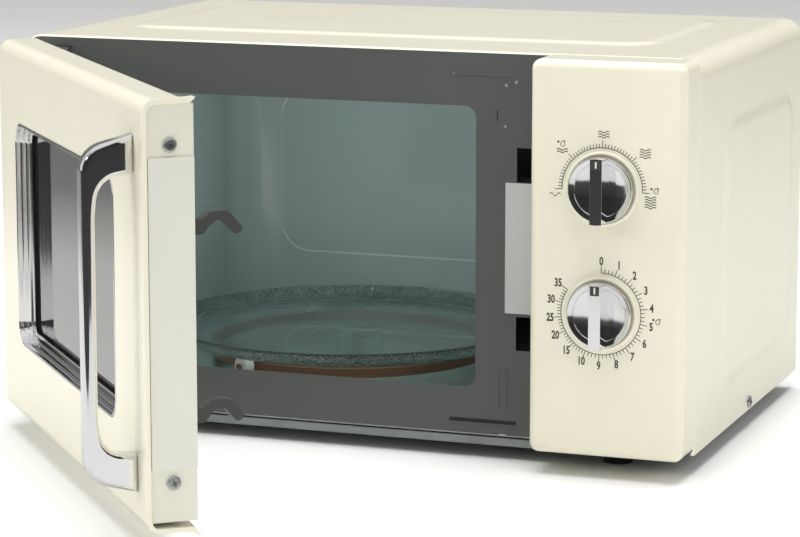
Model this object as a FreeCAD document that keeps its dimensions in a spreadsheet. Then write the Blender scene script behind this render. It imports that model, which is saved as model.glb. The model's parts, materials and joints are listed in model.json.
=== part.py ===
import FreeCAD, Part
import Sketcher
import math
import os
import re

from FreeCAD import Placement, Rotation, Vector

# Countertop microwave oven with a side-hung door, millimetres, +Z up. The front faces -Y.
# Sub-parts are drawn in the cabinet's frame: X = 0 in the middle of the casing, Y = 0 on the
# front plate, Z = 0 on the floor. Door pieces are drawn in the door's frame, whose Z axis is
# the hinge line and whose X axis runs along the door towards its free edge.
SIZES = {
    "cabinet_width": 454, "cabinet_depth": 276, "casing_height": 244.5, "foot_height": 12.5,
    "gauge": 0.8, "plate_inset": 1.1, "casing_radius": 14, "emboss_height": 1.2, "emboss_radius": 26,
    "foot_radius": 10, "foot_x": 172.5, "foot_front_y": 22, "foot_back_y": 246, "base_drop": 4,
    "pan_inset": 11,
    "panel_left": 129.5, "panel_depth": 30.4, "panel_wall": 2.5, "panel_low": 14, "panel_radius": 6,
    "dial_x": 175.4, "power_z": 179.7, "timer_z": 103.4, "knob_radius": 20.2, "knob_step": 16.2,
    "knob_disc": 5, "knob_height": 14, "grip_width": 7.5, "ring_radius": 22.2, "ring_height": 1.2,
    "shaft_radius": 3, "shaft_gap": 0.06, "face_gap": 0.4,
    "opening_left": -184, "opening_right": 85, "opening_low": 45.1, "opening_top": 222.8,
    "cavity_floor": 30.5, "cavity_ceiling": 224.5, "cavity_back": 268, "cavity_radius": 34,
    "slot_left": 111.6, "slot_right": 130.5, "slot_low_z": 70.4, "slot_high_z": 176.4,
    "slot_height": 21.5,
    "door_width": 355, "door_depth": 30.4, "door_gap": 0.8, "door_low": 14, "door_top": 255.6,
    "door_wall": 2.5, "stile_width": 16, "hinge_inset": 8.6, "hinge_forward": 15.7,
    "door_angle": 50.1, "hinge_pin_radius": 3, "hinge_arm": 2, "hinge_slot": 4.4,
    "bezel_left": 46, "bezel_right": 292, "bezel_low": 64.5, "bezel_top": 207, "bezel_wall": 2,
    "bezel_step": 5.5, "bezel_radius": 14, "glass_depth": 19.5, "glass_thickness": 2.5,
    "frame_left": 40, "frame_right": 354, "frame_low": 19.5, "frame_top": 252.5, "frame_depth": 27.6,
    "handle_left": 327, "handle_right": 339, "handle_low": 33.5, "handle_top": 235.2,
    "handle_reach": 60.5, "handle_inner": 52.4, "handle_root": 22,
    "hook_left": 343, "hook_right": 351, "hook_reach": 27.5,
    "hook_low_z": 86.5, "hook_high_z": 192.1,
    "tray_x": -49.5, "tray_y": 134, "tray_radius": 127.5, "tray_under": 44.8, "tray_rim": 56.5,
    "tray_glass": 4, "roller_turn": 6, "roller_radius": 6.8, "roller_width": 7, "roller_circle": 100,
    "axle_radius": 1.5, "fan_x": 158, "fan_z": 150, "fan_radius": 42, "fan_y": 236,
    "origin_x": -2.4, "origin_y": -8.1,
}

doc = FreeCAD.newDocument("microwave_oven")
sheet = doc.addObject("Spreadsheet::Sheet", "Sizes")
for row, (alias, value) in enumerate(SIZES.items(), start=1):
    sheet.set("A%d" % row, alias)
    sheet.set("B%d" % row, str(value))
    sheet.setAlias("B%d" % row, alias)
doc.recompute()

PLANES = {"X": "YZ_Plane", "Y": "XZ_Plane", "Z": "XY_Plane"}
TURN = {
    "X": Rotation(Vector(0, 1, 0), 90),
    "Y": Rotation(Vector(1, 0, 0), -90),
    "Z": Rotation(),
}
sub_parts = []


def bound(text):
    """An expression in which each alias points at its cell in the sheet."""
    names = re.compile(r"[a-z_]{2,}")
    return names.sub(lambda word: "Sizes." + word.group() if word.group() in SIZES else word.group(),
                     str(text))


def bind(item, prop, text):
    item.setExpression(prop, bound(text))


def move(item, x, y, z):
    bind(item, "Placement.Base.x", x)
    bind(item, "Placement.Base.y", y)
    bind(item, "Placement.Base.z", z)


# ---- Part primitives and booleans ----

def block(name, x, y, z):
    """A box from three (low, high) pairs of expressions."""
    item = doc.addObject("Part::Box", name)
    bind(item, "Length", "(%s) - (%s)" % (x[1], x[0]))
    bind(item, "Width", "(%s) - (%s)" % (y[1], y[0]))
    bind(item, "Height", "(%s) - (%s)" % (z[1], z[0]))
    move(item, x[0], y[0], z[0])
    return item


def rod(name, axis, at, radius, length):
    """A cylinder that starts at a point and runs along +X, +Y or +Z."""
    item = doc.addObject("Part::Cylinder", name)
    item.Placement = Placement(Vector(), TURN[axis])
    bind(item, "Radius", radius)
    bind(item, "Height", length)
    move(item, *at)
    return item


def taper(name, axis, at, radius, end_radius, length):
    item = doc.addObject("Part::Cone", name)
    item.Placement = Placement(Vector(), TURN[axis])
    bind(item, "Radius1", radius)
    bind(item, "Radius2", end_radius)
    bind(item, "Height", length)
    move(item, *at)
    return item


def fuse(name, pieces):
    item = doc.addObject("Part::MultiFuse", name)
    item.Shapes = pieces
    item.Refine = True
    return item


def cut(name, base, tools):
    item = doc.addObject("Part::Cut", name)
    item.Base = base
    item.Tool = tools[0] if len(tools) == 1 else fuse(name + "_tools", tools)
    return item


def group(name, pieces):
    item = doc.addObject("Part::Compound", name)
    item.Links = pieces
    return item


def edge_names(shape, test):
    return ["Edge%d" % (i + 1) for i, edge in enumerate(shape.Edges) if test(edge)]


def runs_along(edge, axis):
    box = edge.BoundBox
    lengths = {"X": box.XLength, "Y": box.YLength, "Z": box.ZLength}
    along = lengths.pop(axis)
    return along > 0.5 and max(lengths.values()) < 1e-4


def rounded(name, base, radius, test):
    """A Part fillet on the edges that pass a test."""
    doc.recompute()
    item = doc.addObject("Part::Fillet", name)
    item.Base = base
    size = sheet.get(radius) if isinstance(radius, str) else radius
    item.Edges = [(i + 1, size, size) for i, edge in enumerate(base.Shape.Edges) if test(edge)]
    return item


# ---- PartDesign bodies ----

def new_body(name):
    return doc.addObject("PartDesign::Body", name)


def origin_plane(body, role):
    return [item for item in body.Origin.OriginFeatures if item.Role == role][0]


def polygon(body, name, axis, points, start):
    """A closed outline on the body's own plane square to an axis, each corner bound to the sheet."""
    sketch = body.newObject("Sketcher::SketchObject", name)
    sketch.AttachmentSupport = [(origin_plane(body, PLANES[axis]), "")]
    sketch.MapMode = "FlatFace"
    side = "-1 * " if axis == "Y" else ""
    sketch.setExpression("AttachmentOffset.Base.z", side + "(" + bound(start) + ")")
    count = len(points)
    for i in range(count):
        angle = 2 * math.pi * i / count
        after = 2 * math.pi * (i + 1) / count
        first = Vector(50 * math.cos(angle), 50 * math.sin(angle), 0)
        second = Vector(50 * math.cos(after), 50 * math.sin(after), 0)
        sketch.addGeometry(Part.LineSegment(first, second), False)
    for i in range(count):
        sketch.addConstraint(Sketcher.Constraint("Coincident", i, 2, (i + 1) % count, 1))
    for i, (across, up) in enumerate(points):
        for kind, text, tag in (("DistanceX", across, "x"), ("DistanceY", up, "y")):
            index = sketch.addConstraint(Sketcher.Constraint(kind, -1, 1, i, 1, 1.0 + i))
            sketch.renameConstraint(index, "%s%d" % (tag, i))
            bind(sketch, "Constraints.%s%d" % (tag, i), text)
    return sketch


def rectangle(low, high):
    return [(low[0], low[1]), (high[0], low[1]), (high[0], high[1]), (low[0], high[1])]


def pad(body, name, axis, points, start, length):
    """Material from start along the plus axis."""
    sketch = polygon(body, name + "_outline", axis, points, start)
    item = body.newObject("PartDesign::Pad", name)
    item.Profile = sketch
    item.Reversed = axis == "Y"
    bind(item, "Length", length)
    doc.recompute()
    return item


def pocket(body, name, axis, points, start, length):
    """A hollow from start along the plus axis; it has to remove material."""
    before = body.Shape.Volume
    sketch = polygon(body, name + "_outline", axis, points, start)
    item = body.newObject("PartDesign::Pocket", name)
    item.Profile = sketch
    item.Reversed = axis != "Y"
    bind(item, "Length", length)
    doc.recompute()
    if body.Shape.Volume > before - 0.01:
        raise RuntimeError("nothing was cut by " + name)
    return item


def fillet(body, name, radius, test):
    base = body.Tip
    item = body.newObject("PartDesign::Fillet", name)
    item.Base = (base, edge_names(base.Shape, test))
    bind(item, "Radius", radius)
    doc.recompute()
    return item


def revolve(name, points):
    """A turned body: half its outline in X and Z, spun about Z."""
    body = new_body(name)
    sketch = polygon(body, name + "_outline", "Y", points, 0)
    item = body.newObject("PartDesign::Revolution", name + "_turn")
    item.Profile = sketch
    item.ReferenceAxis = (sketch, ["V_Axis"])
    item.Angle = 360
    doc.recompute()
    return body


def hole(body, name, axis, at, radius, start, length):
    """A round hole along the plus axis from start."""
    before = body.Shape.Volume
    sketch = body.newObject("Sketcher::SketchObject", name + "_outline")
    sketch.AttachmentSupport = [(origin_plane(body, PLANES[axis]), "")]
    sketch.MapMode = "FlatFace"
    side = "-1 * " if axis == "Y" else ""
    sketch.setExpression("AttachmentOffset.Base.z", side + "(" + bound(start) + ")")
    sketch.addGeometry(Part.Circle(Vector(1, 1, 0), Vector(0, 0, 1), 2), False)
    rules = (("DistanceX", (-1, 1, 0, 3, 1.0), at[0]), ("DistanceY", (-1, 1, 0, 3, 1.0), at[1]),
             ("Radius", (0, 2.0), radius))
    for kind, values, text in rules:
        index = sketch.addConstraint(Sketcher.Constraint(kind, *values))
        sketch.renameConstraint(index, kind.lower())
        bind(sketch, "Constraints." + kind.lower(), text)
    item = body.newObject("PartDesign::Pocket", name)
    item.Profile = sketch
    item.Reversed = axis != "Y"
    bind(item, "Length", length)
    doc.recompute()
    if body.Shape.Volume > before - 0.01:
        raise RuntimeError("nothing was cut by " + name)
    return item


# ---- Where sub-parts stand ----

def cell(alias):
    return float(sheet.get(alias))


cabinet_seat = Placement(Vector(-cell("origin_x"), -cell("origin_y"), 0), Rotation())
hinge_x = cell("hinge_inset") - cell("cabinet_width") / 2
door_seat = Placement(Vector(hinge_x - cell("origin_x"), -cell("hinge_forward") - cell("origin_y"), 0),
                      Rotation(Vector(0, 0, 1), -cell("door_angle")))


def keep(item, label, seat=cabinet_seat, at=(0, 0, 0), turn=Rotation()):
    """Make an object a sub-part: its label names its file, its placement stands it in the oven."""
    if item.TypeId in ("Part::Box", "Part::Cylinder"):
        item = group(label + "_group", [item])
    item.Label = label
    item.Placement = seat.multiply(Placement(Vector(*at), turn))
    sub_parts.append(item)
    return item


def door_x(text):
    """A distance along the door from its hinged edge, in the door's frame."""
    return "(%s) - hinge_inset" % text


def door_y(text):
    """A distance outwards from the front plate, in the door's frame."""
    return "hinge_forward - (%s)" % text


def door_block(name, along, out, z):
    return block(name, (door_x(along[0]), door_x(along[1])), (door_y(out[1]), door_y(out[0])), z)


# ---- Cabinet ----

half = "cabinet_width / 2"
casing_top = "foot_height + casing_height"
OUTER_LOOPS = {
    "top_field": lambda e: e.BoundBox.ZMin > 257.5,
    "right_field": lambda e: e.BoundBox.XMin > 227.5,
    "left_field": lambda e: e.BoundBox.XMax < -227.5,
}


def make_casing():
    """A sheet wrapped over the top and both sides, with a raised field on each face."""
    outer = block("wrap_outside", ("-" + half, half), ("0", "cabinet_depth"), ("foot_height", casing_top))
    inner = block("wrap_inside", ("gauge - " + half, half + " - gauge"), ("-2", "cabinet_depth + 2"),
                  ("foot_height - 40", casing_top + " - gauge"))
    outer = rounded("wrap_shoulders", outer, "casing_radius",
                    lambda e: runs_along(e, "Y") and e.CenterOfMass.z > 200)
    inner = rounded("wrap_inner_shoulders", inner, cell("casing_radius") - cell("gauge"),
                    lambda e: runs_along(e, "Y") and e.CenterOfMass.z > 200)
    fields = []
    for name, axis, x, y, z in (
            ("top_field", "Z", ("-185", "180"), ("62", "246"),
             (casing_top + " - 0.5", casing_top + " + emboss_height")),
            ("right_field", "X", (half + " - 0.5", half + " + emboss_height"), ("62", "250"), ("40", "212")),
            ("left_field", "X", ("-" + half + " - emboss_height", "0.5 - " + half), ("62", "250"),
             ("40", "212"))):
        corners = rounded(name + "_corners", block(name + "_block", x, y, z), "emboss_radius",
                          lambda e, a=axis: runs_along(e, a))
        fields.append(rounded(name, corners, cell("emboss_height") - 0.1, OUTER_LOOPS[name]))
    keep(cut("casing_cut", fuse("casing_fused", [outer] + fields), [inner]), "casing")


def make_base_plate():
    body = new_body("base_body")
    low = "foot_height - base_drop"
    flange = "foot_height + 0.3"
    pad(body, "pan_flange", "Z", rectangle(("3 - " + half, "1.8"), (half + " - 3", "cabinet_depth - 3")),
        flange, "gauge")
    pad(body, "pan", "Z", rectangle(("pan_inset - " + half, "1.5"),
                                    (half + " - pan_inset", "cabinet_depth - 6")), low, "base_drop + 0.8")
    inner = rectangle(("pan_inset + 1 - " + half, "2.5"), (half + " - pan_inset - 1", "cabinet_depth - 7"))
    pocket(body, "pan_inside", "Z", inner, low + " + gauge", "base_drop + 5")
    vents = pocket(body, "vent", "Z", rectangle(("100", "60"), ("104", "100")), low + " - 1", "5")
    pattern = body.newObject("PartDesign::LinearPattern", "vent_row")
    pattern.Originals = [vents]
    pattern.Direction = (origin_axis(body, "X_Axis"), [""])
    pattern.Length = 90
    pattern.Occurrences = 10
    body.Tip = pattern
    doc.recompute()
    keep(body, "base_plate")


def origin_axis(body, role):
    return [item for item in body.Origin.OriginFeatures if item.Role == role][0]


def make_rear_panel():
    body = new_body("rear_body")
    back = "cabinet_depth - 1.5"
    outline = rectangle(("2 - " + half, "foot_height + 1"), (half + " - 2", casing_top + " - 2"))
    pad(body, "rear_sheet", "Y", outline, back, "gauge")
    fillet(body, "rear_corners", "casing_radius - 2",
           lambda e: runs_along(e, "Y") and e.CenterOfMass.z > 200)
    for name, x, z, count in (("fan_slot", 124, 120, 12), ("outlet_slot", -160, 200, 18)):
        slot = pocket(body, name, "Y", rectangle((x, z), (x + 3, z + 40)), back + " - 1", "4")
        pattern = body.newObject("PartDesign::LinearPattern", name + "_row")
        pattern.Originals = [slot]
        pattern.Direction = (origin_axis(body, "X_Axis"), [""])
        pattern.Length = 6 * (count - 1)
        pattern.Occurrences = count
        body.Tip = pattern
        doc.recompute()
    hole(body, "inlet_hole", "Y", ("190", "40"), "7", back + " - 1", "4")
    keep(body, "rear_panel")


def make_front_plate():
    body = new_body("front_body")
    outline = rectangle(("plate_inset - " + half, "foot_height + 2.5"),
                        (half + " - plate_inset", casing_top + " - plate_inset"))
    pad(body, "front_sheet", "Y", outline, 0, "gauge")
    fillet(body, "front_corners", "casing_radius - plate_inset",
           lambda e: runs_along(e, "Y") and e.CenterOfMass.z > 200)
    window = rectangle(("opening_left", "opening_low"), ("opening_right", "opening_top"))
    pocket(body, "oven_mouth", "Y", window, -1, "gauge + 2")
    fillet(body, "mouth_corners", "8",
           lambda e: runs_along(e, "Y") and abs(e.CenterOfMass.x + 49.5) < 140
           and 40 < e.CenterOfMass.z < 230)
    for name, low in (("lower_slot", "slot_low_z"), ("upper_slot", "slot_high_z")):
        outline = rectangle(("slot_left", low), ("slot_right", low + " + slot_height"))
        pocket(body, name, "Y", outline, -1, "gauge + 2")
    arm_left = "hinge_inset - " + half + " + 6.7"
    for name, low in (("upper_arm_hole", "door_top - 8.1"), ("lower_arm_hole", "door_low + 5.5")):
        outline = rectangle((arm_left, low), (arm_left + " + 20.6", low + " + hinge_arm + 0.6"))
        pocket(body, name, "Y", outline, -1, "gauge + 2")
    keep(body, "front_plate")


def cavity_block(name, grow, front, back_grow):
    """The oven's inside as a block with round rear corners, grown outwards by a wall."""
    base = block(name + "_block", ("opening_left - " + grow, "opening_right + " + grow),
                 (front, "cavity_back + " + back_grow),
                 ("cavity_floor - " + grow, "cavity_ceiling + " + grow))
    extra = float(sheet.get("gauge")) if grow == "gauge" else 0.0
    upright = rounded(name + "_uprights", base, cell("cavity_radius") + extra,
                      lambda e: runs_along(e, "Z") and e.CenterOfMass.y > 200)
    return rounded(name, upright, 10 + extra,
                   lambda e: abs(e.CenterOfMass.z - cell("cavity_floor")) < 2
                   and e.CenterOfMass.y > 20)


def make_cavity_liner():
    outside = cavity_block("liner_outside", "gauge", "gauge", "gauge")
    inside = cavity_block("liner_inside", "0", "gauge - 5", "0")
    shaft = rod("liner_shaft_hole", "Z", ("tray_x", "tray_y", "cavity_floor - 5"), "6", "10")
    port = block("wave_port", ("opening_right - 3", "opening_right + 5"), ("70", "130"), ("120", "195"))
    lamp = [rod("lamp_vent_%d_%d" % (i, j), "X",
                ("opening_right - 3", "170 + 6 * %d" % i, "190 + 6 * %d" % j), "1.6", "8")
            for i in range(5) for j in range(4)]
    steam = [rod("steam_vent_%d_%d" % (i, j), "X",
                 ("opening_left - 5", "60 + 7 * %d" % i, "190 + 7 * %d" % j), "1.8", "8")
             for i in range(8) for j in range(3)]
    item = cut("liner_cut", outside, [inside, shaft, port] + lamp + steam)
    keep(item, "cavity_liner")


def make_control_panel():
    body = new_body("panel_body")
    top = casing_top + " - 0.2"
    pad(body, "panel_block", "Y", rectangle(("panel_left", "panel_low"), (half, top)), "-panel_depth",
        "panel_depth - 0.1")
    fillet(body, "panel_uprights", "panel_radius", lambda e: runs_along(e, "Y"))
    fillet(body, "panel_rim", "panel_radius - 1",
           lambda e: e.BoundBox.YLength < 1e-3 and e.CenterOfMass.y < -20)
    inner = rectangle(("panel_left + panel_wall", "panel_low + panel_wall"),
                      (half + " - panel_wall", top + " - panel_wall"))
    pocket(body, "panel_inside", "Y", inner, "panel_wall - panel_depth + 1", "panel_depth + 1")
    for name, height in (("power_hole", "power_z"), ("timer_hole", "timer_z")):
        hole(body, name, "Y", ("dial_x", height), "shaft_radius + 1.5", "-panel_depth - 1", "10")
    keep(body, "control_panel")


def make_dial_rings():
    rings = []
    for name, height in (("power", "power_z"), ("timer", "timer_z")):
        at = ("dial_x", "-panel_depth - ring_height", height)
        disc = taper(name + "_ring_disc", "Y", at, "ring_radius - 0.5", "ring_radius", "ring_height")
        bore = rod(name + "_ring_bore", "Y", ("dial_x", "-panel_depth - 5", height),
                   "knob_radius + face_gap", "10")
        rings.append(cut(name + "_ring", disc, [bore]))
    keep(group("dial_rings_group", rings), "dial_rings")


def make_feet():
    feet = []
    for i, (x, y) in enumerate((("foot_x", "foot_front_y"), ("-foot_x", "foot_front_y"),
                                ("foot_x", "foot_back_y"), ("-foot_x", "foot_back_y"))):
        feet.append(taper("foot_%d" % i, "Z", (x, y, "0"), "foot_radius - 1", "foot_radius",
                          "foot_height - base_drop"))
    keep(group("feet_group", feet), "feet")


def make_hinge_brackets():
    """Angle plates behind the front plate; an arm comes through a slot and carries the hinge pin."""
    line = ("hinge_inset - " + half, "-hinge_forward")
    for name, low, flange in (("upper", "door_top - 7.8", ("door_top - 24", "door_top - 5.8")),
                              ("lower", "door_low + 5.8", ("door_low + 5.8", "door_low + 24"))):
        plate = block(name + "_flange", (line[0] + " + 7", line[0] + " + 27"), ("gauge", "gauge + 1.5"),
                      flange)
        arm = block(name + "_arm", (line[0] + " - 4", line[0] + " + 27"),
                    (line[1] + " - 4", "gauge + 1"), (low, low + " + hinge_arm"))
        corner = block(name + "_corner", (line[0] + " + 7", line[0] + " + 28"),
                       (line[1] + " - 5", "-6"), (low + " - 1", low + " + 4"))
        wing = block(name + "_wing", (line[0] + " - 5", line[0] + " + 7"), ("-3", "gauge + 2"),
                     (low + " - 1", low + " + 4"))
        elbow = cut(name + "_elbow", arm, [corner, wing])
        start = low + " - 12" if name == "upper" else low + " + hinge_arm"
        stub = rod(name + "_pin", "Z", (line[0], line[1], start), "hinge_pin_radius", "12")
        keep(fuse(name + "_bracket", [plate, elbow, stub]), "hinge_bracket_" + name)


def make_latch_bracket():
    """A channel behind the front plate; each hook passes just over a ledge in it."""
    web = block("latch_web", ("slot_right + 1.5", "slot_right + 3.5"), ("gauge", "44"), ("60", "215"))
    tabs = []
    for name, low in (("low_ledge", "slot_low_z"), ("high_ledge", "slot_high_z")):
        tabs.append(block(name, ("slot_left", "slot_right + 2"), ("9", "15"),
                          (low + " - 4", low + " + 1.5")))
        tabs.append(block(name + "_side", ("slot_left - 4", "slot_left"), ("gauge", "15"),
                          (low + " - 4", low + " + 1.5")))
    keep(fuse("latch_channel", [web] + tabs), "latch_bracket")


def make_door_switches():
    """Snap switches on the latch channel, each with a small plunger."""
    switches = []
    for i, height in enumerate(("slot_low_z + 26", "slot_high_z - 22", "slot_high_z - 44")):
        case = block("switch_case_%d" % i, ("slot_right - 11", "slot_right + 1.5"), ("12", "38"),
                     (height, height + " + 14"))
        plunger = block("switch_plunger_%d" % i, ("slot_right - 6", "slot_right - 3"), ("9", "12"),
                        (height + " + 5", height + " + 8"))
        switches.append(fuse("switch_%d" % i, [case, plunger]))
    keep(group("door_switches_group", switches), "door_switches")


def make_cabinet_trim():
    label = block("label_sheet", ("104.5", "panel_left - 0.2"), ("-0.7", "-0.05"), ("94", "176"))
    keep(label, "plain_label")
    screws = []
    for i, (x, z) in enumerate(((-212, 30), (-212, 236), (0, 248), (212, 236), (212, 80))):
        screws.append(rod("rear_screw_%d" % i, "Y", (x, "cabinet_depth - 0.5", z), "3.6", "2"))
    for i, side in enumerate(("-", "")):
        start = "-" + half + " - 1.4" if side == "-" else half
        screws.append(rod("side_screw_%d" % i, "X", (start, "139", "foot_height + 5.5"), "3.6", "1.4"))
    keep(group("casing_screws_group", screws), "casing_screws")
    inlet = [rod("inlet_flange", "Y", ("190", "cabinet_depth - 0.5", "40"), "9.5", "3"),
             rod("inlet_neck", "Y", ("190", "cabinet_depth - 12", "40"), "6.8", "18")]
    bore = rod("inlet_bore", "Y", ("190", "cabinet_depth - 14", "40"), "3.6", "30")
    keep(cut("inlet_cut", fuse("inlet_body", inlet), [bore]), "cord_inlet")


# ---- High-voltage and cooling pieces in the right-hand compartment ----

def make_microwave_source():
    outside = block("guide_outside", ("opening_right + gauge", "opening_right + 22"), ("60", "150"),
                    ("108", "212"))
    inside = block("guide_inside", ("opening_right - 1", "opening_right + 21"), ("61", "149"),
                   ("109", "211"))
    mouth = rod("guide_mouth", "X", ("opening_right + 15", "104", "186"), "14", "12")
    keep(cut("guide_cut", outside, [inside, mouth]), "waveguide")
    keep(block("mica", ("opening_right - 1.2", "opening_right - 0.3"), ("64", "138"), ("112", "203")),
         "waveguide_cover")
    yoke = block("yoke_outside", ("opening_right + 22", "opening_right + 86"), ("60", "148"),
                 ("146", "226"))
    gap = block("yoke_inside", ("opening_right + 24", "opening_right + 84"), ("62", "146"),
                ("140", "230"))
    throat = rod("yoke_throat", "X", ("opening_right + 20", "104", "186"), "15", "6")
    keep(cut("yoke_cut", yoke, [gap, throat]), "magnetron_yoke")
    tube = rod("anode", "X", ("opening_right + 25", "104", "186"), "19", "56")
    antenna = rod("antenna", "X", ("opening_right + 6", "104", "186"), "8", "20")
    keep(fuse("anode_fused", [tube, antenna]), "magnetron_tube")
    fins = []
    for i in range(6):
        x = "opening_right + %d" % (32 + 8 * i)
        fin = block("fin_sheet_%d" % i, (x, x + " + 0.8"), ("64", "144"), ("150", "222"))
        bore = rod("fin_bore_%d" % i, "X", (x + " - 1", "104", "186"), "19", "4")
        fins.append(cut("fin_%d" % i, fin, [bore]))
    keep(group("fins_group", fins), "magnetron_fins")


def make_power_supply():
    low = "foot_height - base_drop + gauge"
    outside = block("core_outside", ("118", "206"), ("50", "104"), (low, low + " + 78"))
    legs = [block("core_window_%d" % i, (x, x + 17), ("40", "120"), (low + " + 16", low + " + 62"))
            for i, x in enumerate((133, 174))]
    keep(cut("core_cut", outside, legs), "transformer_core")
    coils = []
    for i, z in enumerate((17, 41)):
        wall = block("coil_outside_%d" % i, ("134", "190"), ("36", "118"),
                     (low + " + %d" % z, low + " + %d" % (z + 20)))
        inner = block("coil_inside_%d" % i, ("149.5", "174.5"), ("49", "105"),
                      (low + " + %d" % (z - 1), low + " + %d" % (z + 21)))
        coils.append(cut("coil_%d" % i, wall, [inner]))
    keep(group("coils_group", coils), "transformer_windings")
    can = rod("capacitor_can", "Y", ("158", "140", "70"), "25", "72")
    posts = [rod("capacitor_post_%d" % i, "Y", (150 + 16 * i, "132", "70"), "3", "9") for i in (0, 1)]
    keep(fuse("capacitor_fused", [can] + posts), "capacitor")
    strap_outside = block("strap_outside", ("128", "188"), ("165", "185"), (low, "98"))
    strap_inside = block("strap_inside", ("129", "187"), ("160", "190"), (low + " - 1", "97"))
    strap_can = rod("strap_can", "Y", ("158", "150", "70"), "25", "50")
    keep(cut("strap_cut", strap_outside, [strap_inside, strap_can]), "capacitor_strap")
    keep(rod("diode_rod", "Y", ("200", "150", "30"), "4", "26"), "diode")
    board = block("filter_board_sheet", ("110", "200"), ("205", "225"), ("225", "227"))
    coil = rod("filter_coil", "Z", ("130", "215", "227"), "8", "16")
    can = block("filter_can", ("150", "172"), ("208", "222"), ("227", "239"))
    keep(fuse("filter_fused", [board, coil, can]), "filter_board")
    keep(rod("fuse_rod", "X", ("176", "215", "231"), "3", "20"), "mains_fuse")
    sensors = [rod("sensor_0", "Z", ("-20", "200", "cavity_ceiling + gauge"), "8", "6"),
               rod("sensor_1", "X", ("opening_right + 86", "104", "216"), "8", "6")]
    keep(group("sensors_group", sensors), "thermal_cutouts")


def make_fan():
    y = "fan_y"
    plate = block("shroud_plate", ("108", "208"), (y + " + 14", y + " + 16"), ("100", "200"))
    mouth = rod("shroud_mouth", "Y", ("fan_x", y, "fan_z"), "fan_radius + 2", "30")
    keep(cut("shroud_cut", plate, [mouth]), "fan_shroud")
    case = block("fan_motor_case", ("fan_x - 22", "fan_x + 22"), (y + " - 26", y + " - 6"),
                 ("fan_z - 20", "fan_z + 20"))
    shaft = rod("fan_motor_shaft", "Y", ("fan_x", y + " - 7", "fan_z"), "2", "22")
    arm = block("fan_motor_arm", ("fan_x - 50", "fan_x + 50"), (y + " - 28", y + " - 26"),
                ("fan_z - 6", "fan_z + 6"))
    keep(fuse("fan_motor_fused", [case, shaft, arm]), "fan_motor")
    hub = rod("fan_hub", "Z", (0, 0, 0), "9", "14")
    blades = []
    for i in range(5):
        blade = doc.addObject("Part::Box", "fan_blade_%d" % i)
        bind(blade, "Length", "fan_radius - 7")
        bind(blade, "Width", "22")
        bind(blade, "Height", "1.6")
        turn = Rotation(Vector(0, 0, 1), 72 * i)
        pitch = Rotation(Vector(1, 0, 0), 28)
        base = turn.multVec(Vector(7, -10, 3))
        blade.Placement = Placement(base, turn.multiply(pitch))
        blades.append(blade)
    bore = rod("fan_bore", "Z", (0, 0, -1), "2 + shaft_gap", "20")
    wheel = cut("fan_cut", fuse("fan_fused", [hub] + blades), [bore])
    at = (cell("fan_x"), cell("fan_y") - 3.5, cell("fan_z"))
    keep(wheel, "fan_blade", at=at, turn=Rotation(Vector(1, 0, 0), -90))


def make_lamp():
    keep(block("lamp_base", ("opening_right + 14", "opening_right + 34"), ("164", "192"),
               ("206", "214")), "lamp_holder")
    bulb = rod("bulb_glass", "Z", ("opening_right + 24", "178", "182"), "7", "24")
    keep(rounded("bulb_round", bulb, 5, lambda e: abs(e.CenterOfMass.z - 182) < 1), "lamp_bulb")


def make_controls():
    """The clockwork timer and the power selector between the panel and the front plate."""
    front = "panel_wall - panel_depth + 1.5"
    for label, height, reach in (("timer_unit", "timer_z", 26), ("power_selector", "power_z", 20)):
        case = block(label + "_case", ("dial_x - %d" % reach, "dial_x + %d" % reach),
                     (front, "-3"), (height + " - %d" % reach, height + " + %d" % reach))
        bore = rod(label + "_bore", "Y", ("dial_x", "-panel_depth", height),
                   "shaft_radius + shaft_gap", "panel_depth - 8")
        keep(cut(label + "_cut", case, [bore]), label)
    keep(rod("bell_cup", "Y", ("dial_x", front, "timer_z + 42"), "14", "9"), "timer_bell")


# ---- Knobs ----

def make_knob(label, height):
    """A turned disc with a bevel and a step, a tapered grip bar, and a shaft. Built looking up."""
    outline = [("0", "0"), ("knob_radius", "0"), ("knob_radius", "1"),
               ("knob_radius - 2", "knob_disc - 0.6"), ("knob_step", "knob_disc"),
               ("knob_step - 0.6", "knob_disc + 0.6"),
               ("0", "knob_disc + 0.6")]
    disc = revolve(label + "_disc", outline)
    bar = new_body(label + "_bar")
    outline = [("-grip_width / 2 - 1.8", "1"), ("grip_width / 2 + 1.8", "1"),
               ("grip_width / 2", "knob_height"), ("-grip_width / 2", "knob_height")]
    pad(bar, label + "_grip", "Y", outline, "-knob_radius", "knob_radius * 2")
    round_bar = rod(label + "_bar_round", "Z", (0, 0, 0), "knob_radius - 0.2", "knob_height + 5")
    grip = doc.addObject("Part::Common", label + "_bar_common")
    grip.Base = bar
    grip.Tool = round_bar
    shaft = rod(label + "_shaft", "Z", (0, 0, "-16"), "shaft_radius", "17")
    at = (cell("dial_x"), -cell("panel_depth") - cell("face_gap"), cell(height))
    keep(fuse(label + "_fused", [disc, grip, shaft]), label, at=at, turn=Rotation(Vector(1, 0, 0), 90))


# ---- Turntable ----

def ring_sector(name, inner, outer, middle, width, low, high):
    """Part of a flat ring round the turntable's axis, drawn with Part's own functions."""
    wedge = Part.makeCylinder(outer, high - low, Vector(0, 0, low), Vector(0, 0, 1), width)
    core = Part.makeCylinder(inner, high - low + 2, Vector(0, 0, low - 1), Vector(0, 0, 1), 360)
    item = doc.addObject("Part::Feature", name)
    shape = wedge.cut(core)
    shape.rotate(Vector(), Vector(0, 0, 1), middle - width / 2)
    item.Shape = shape
    return item


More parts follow.
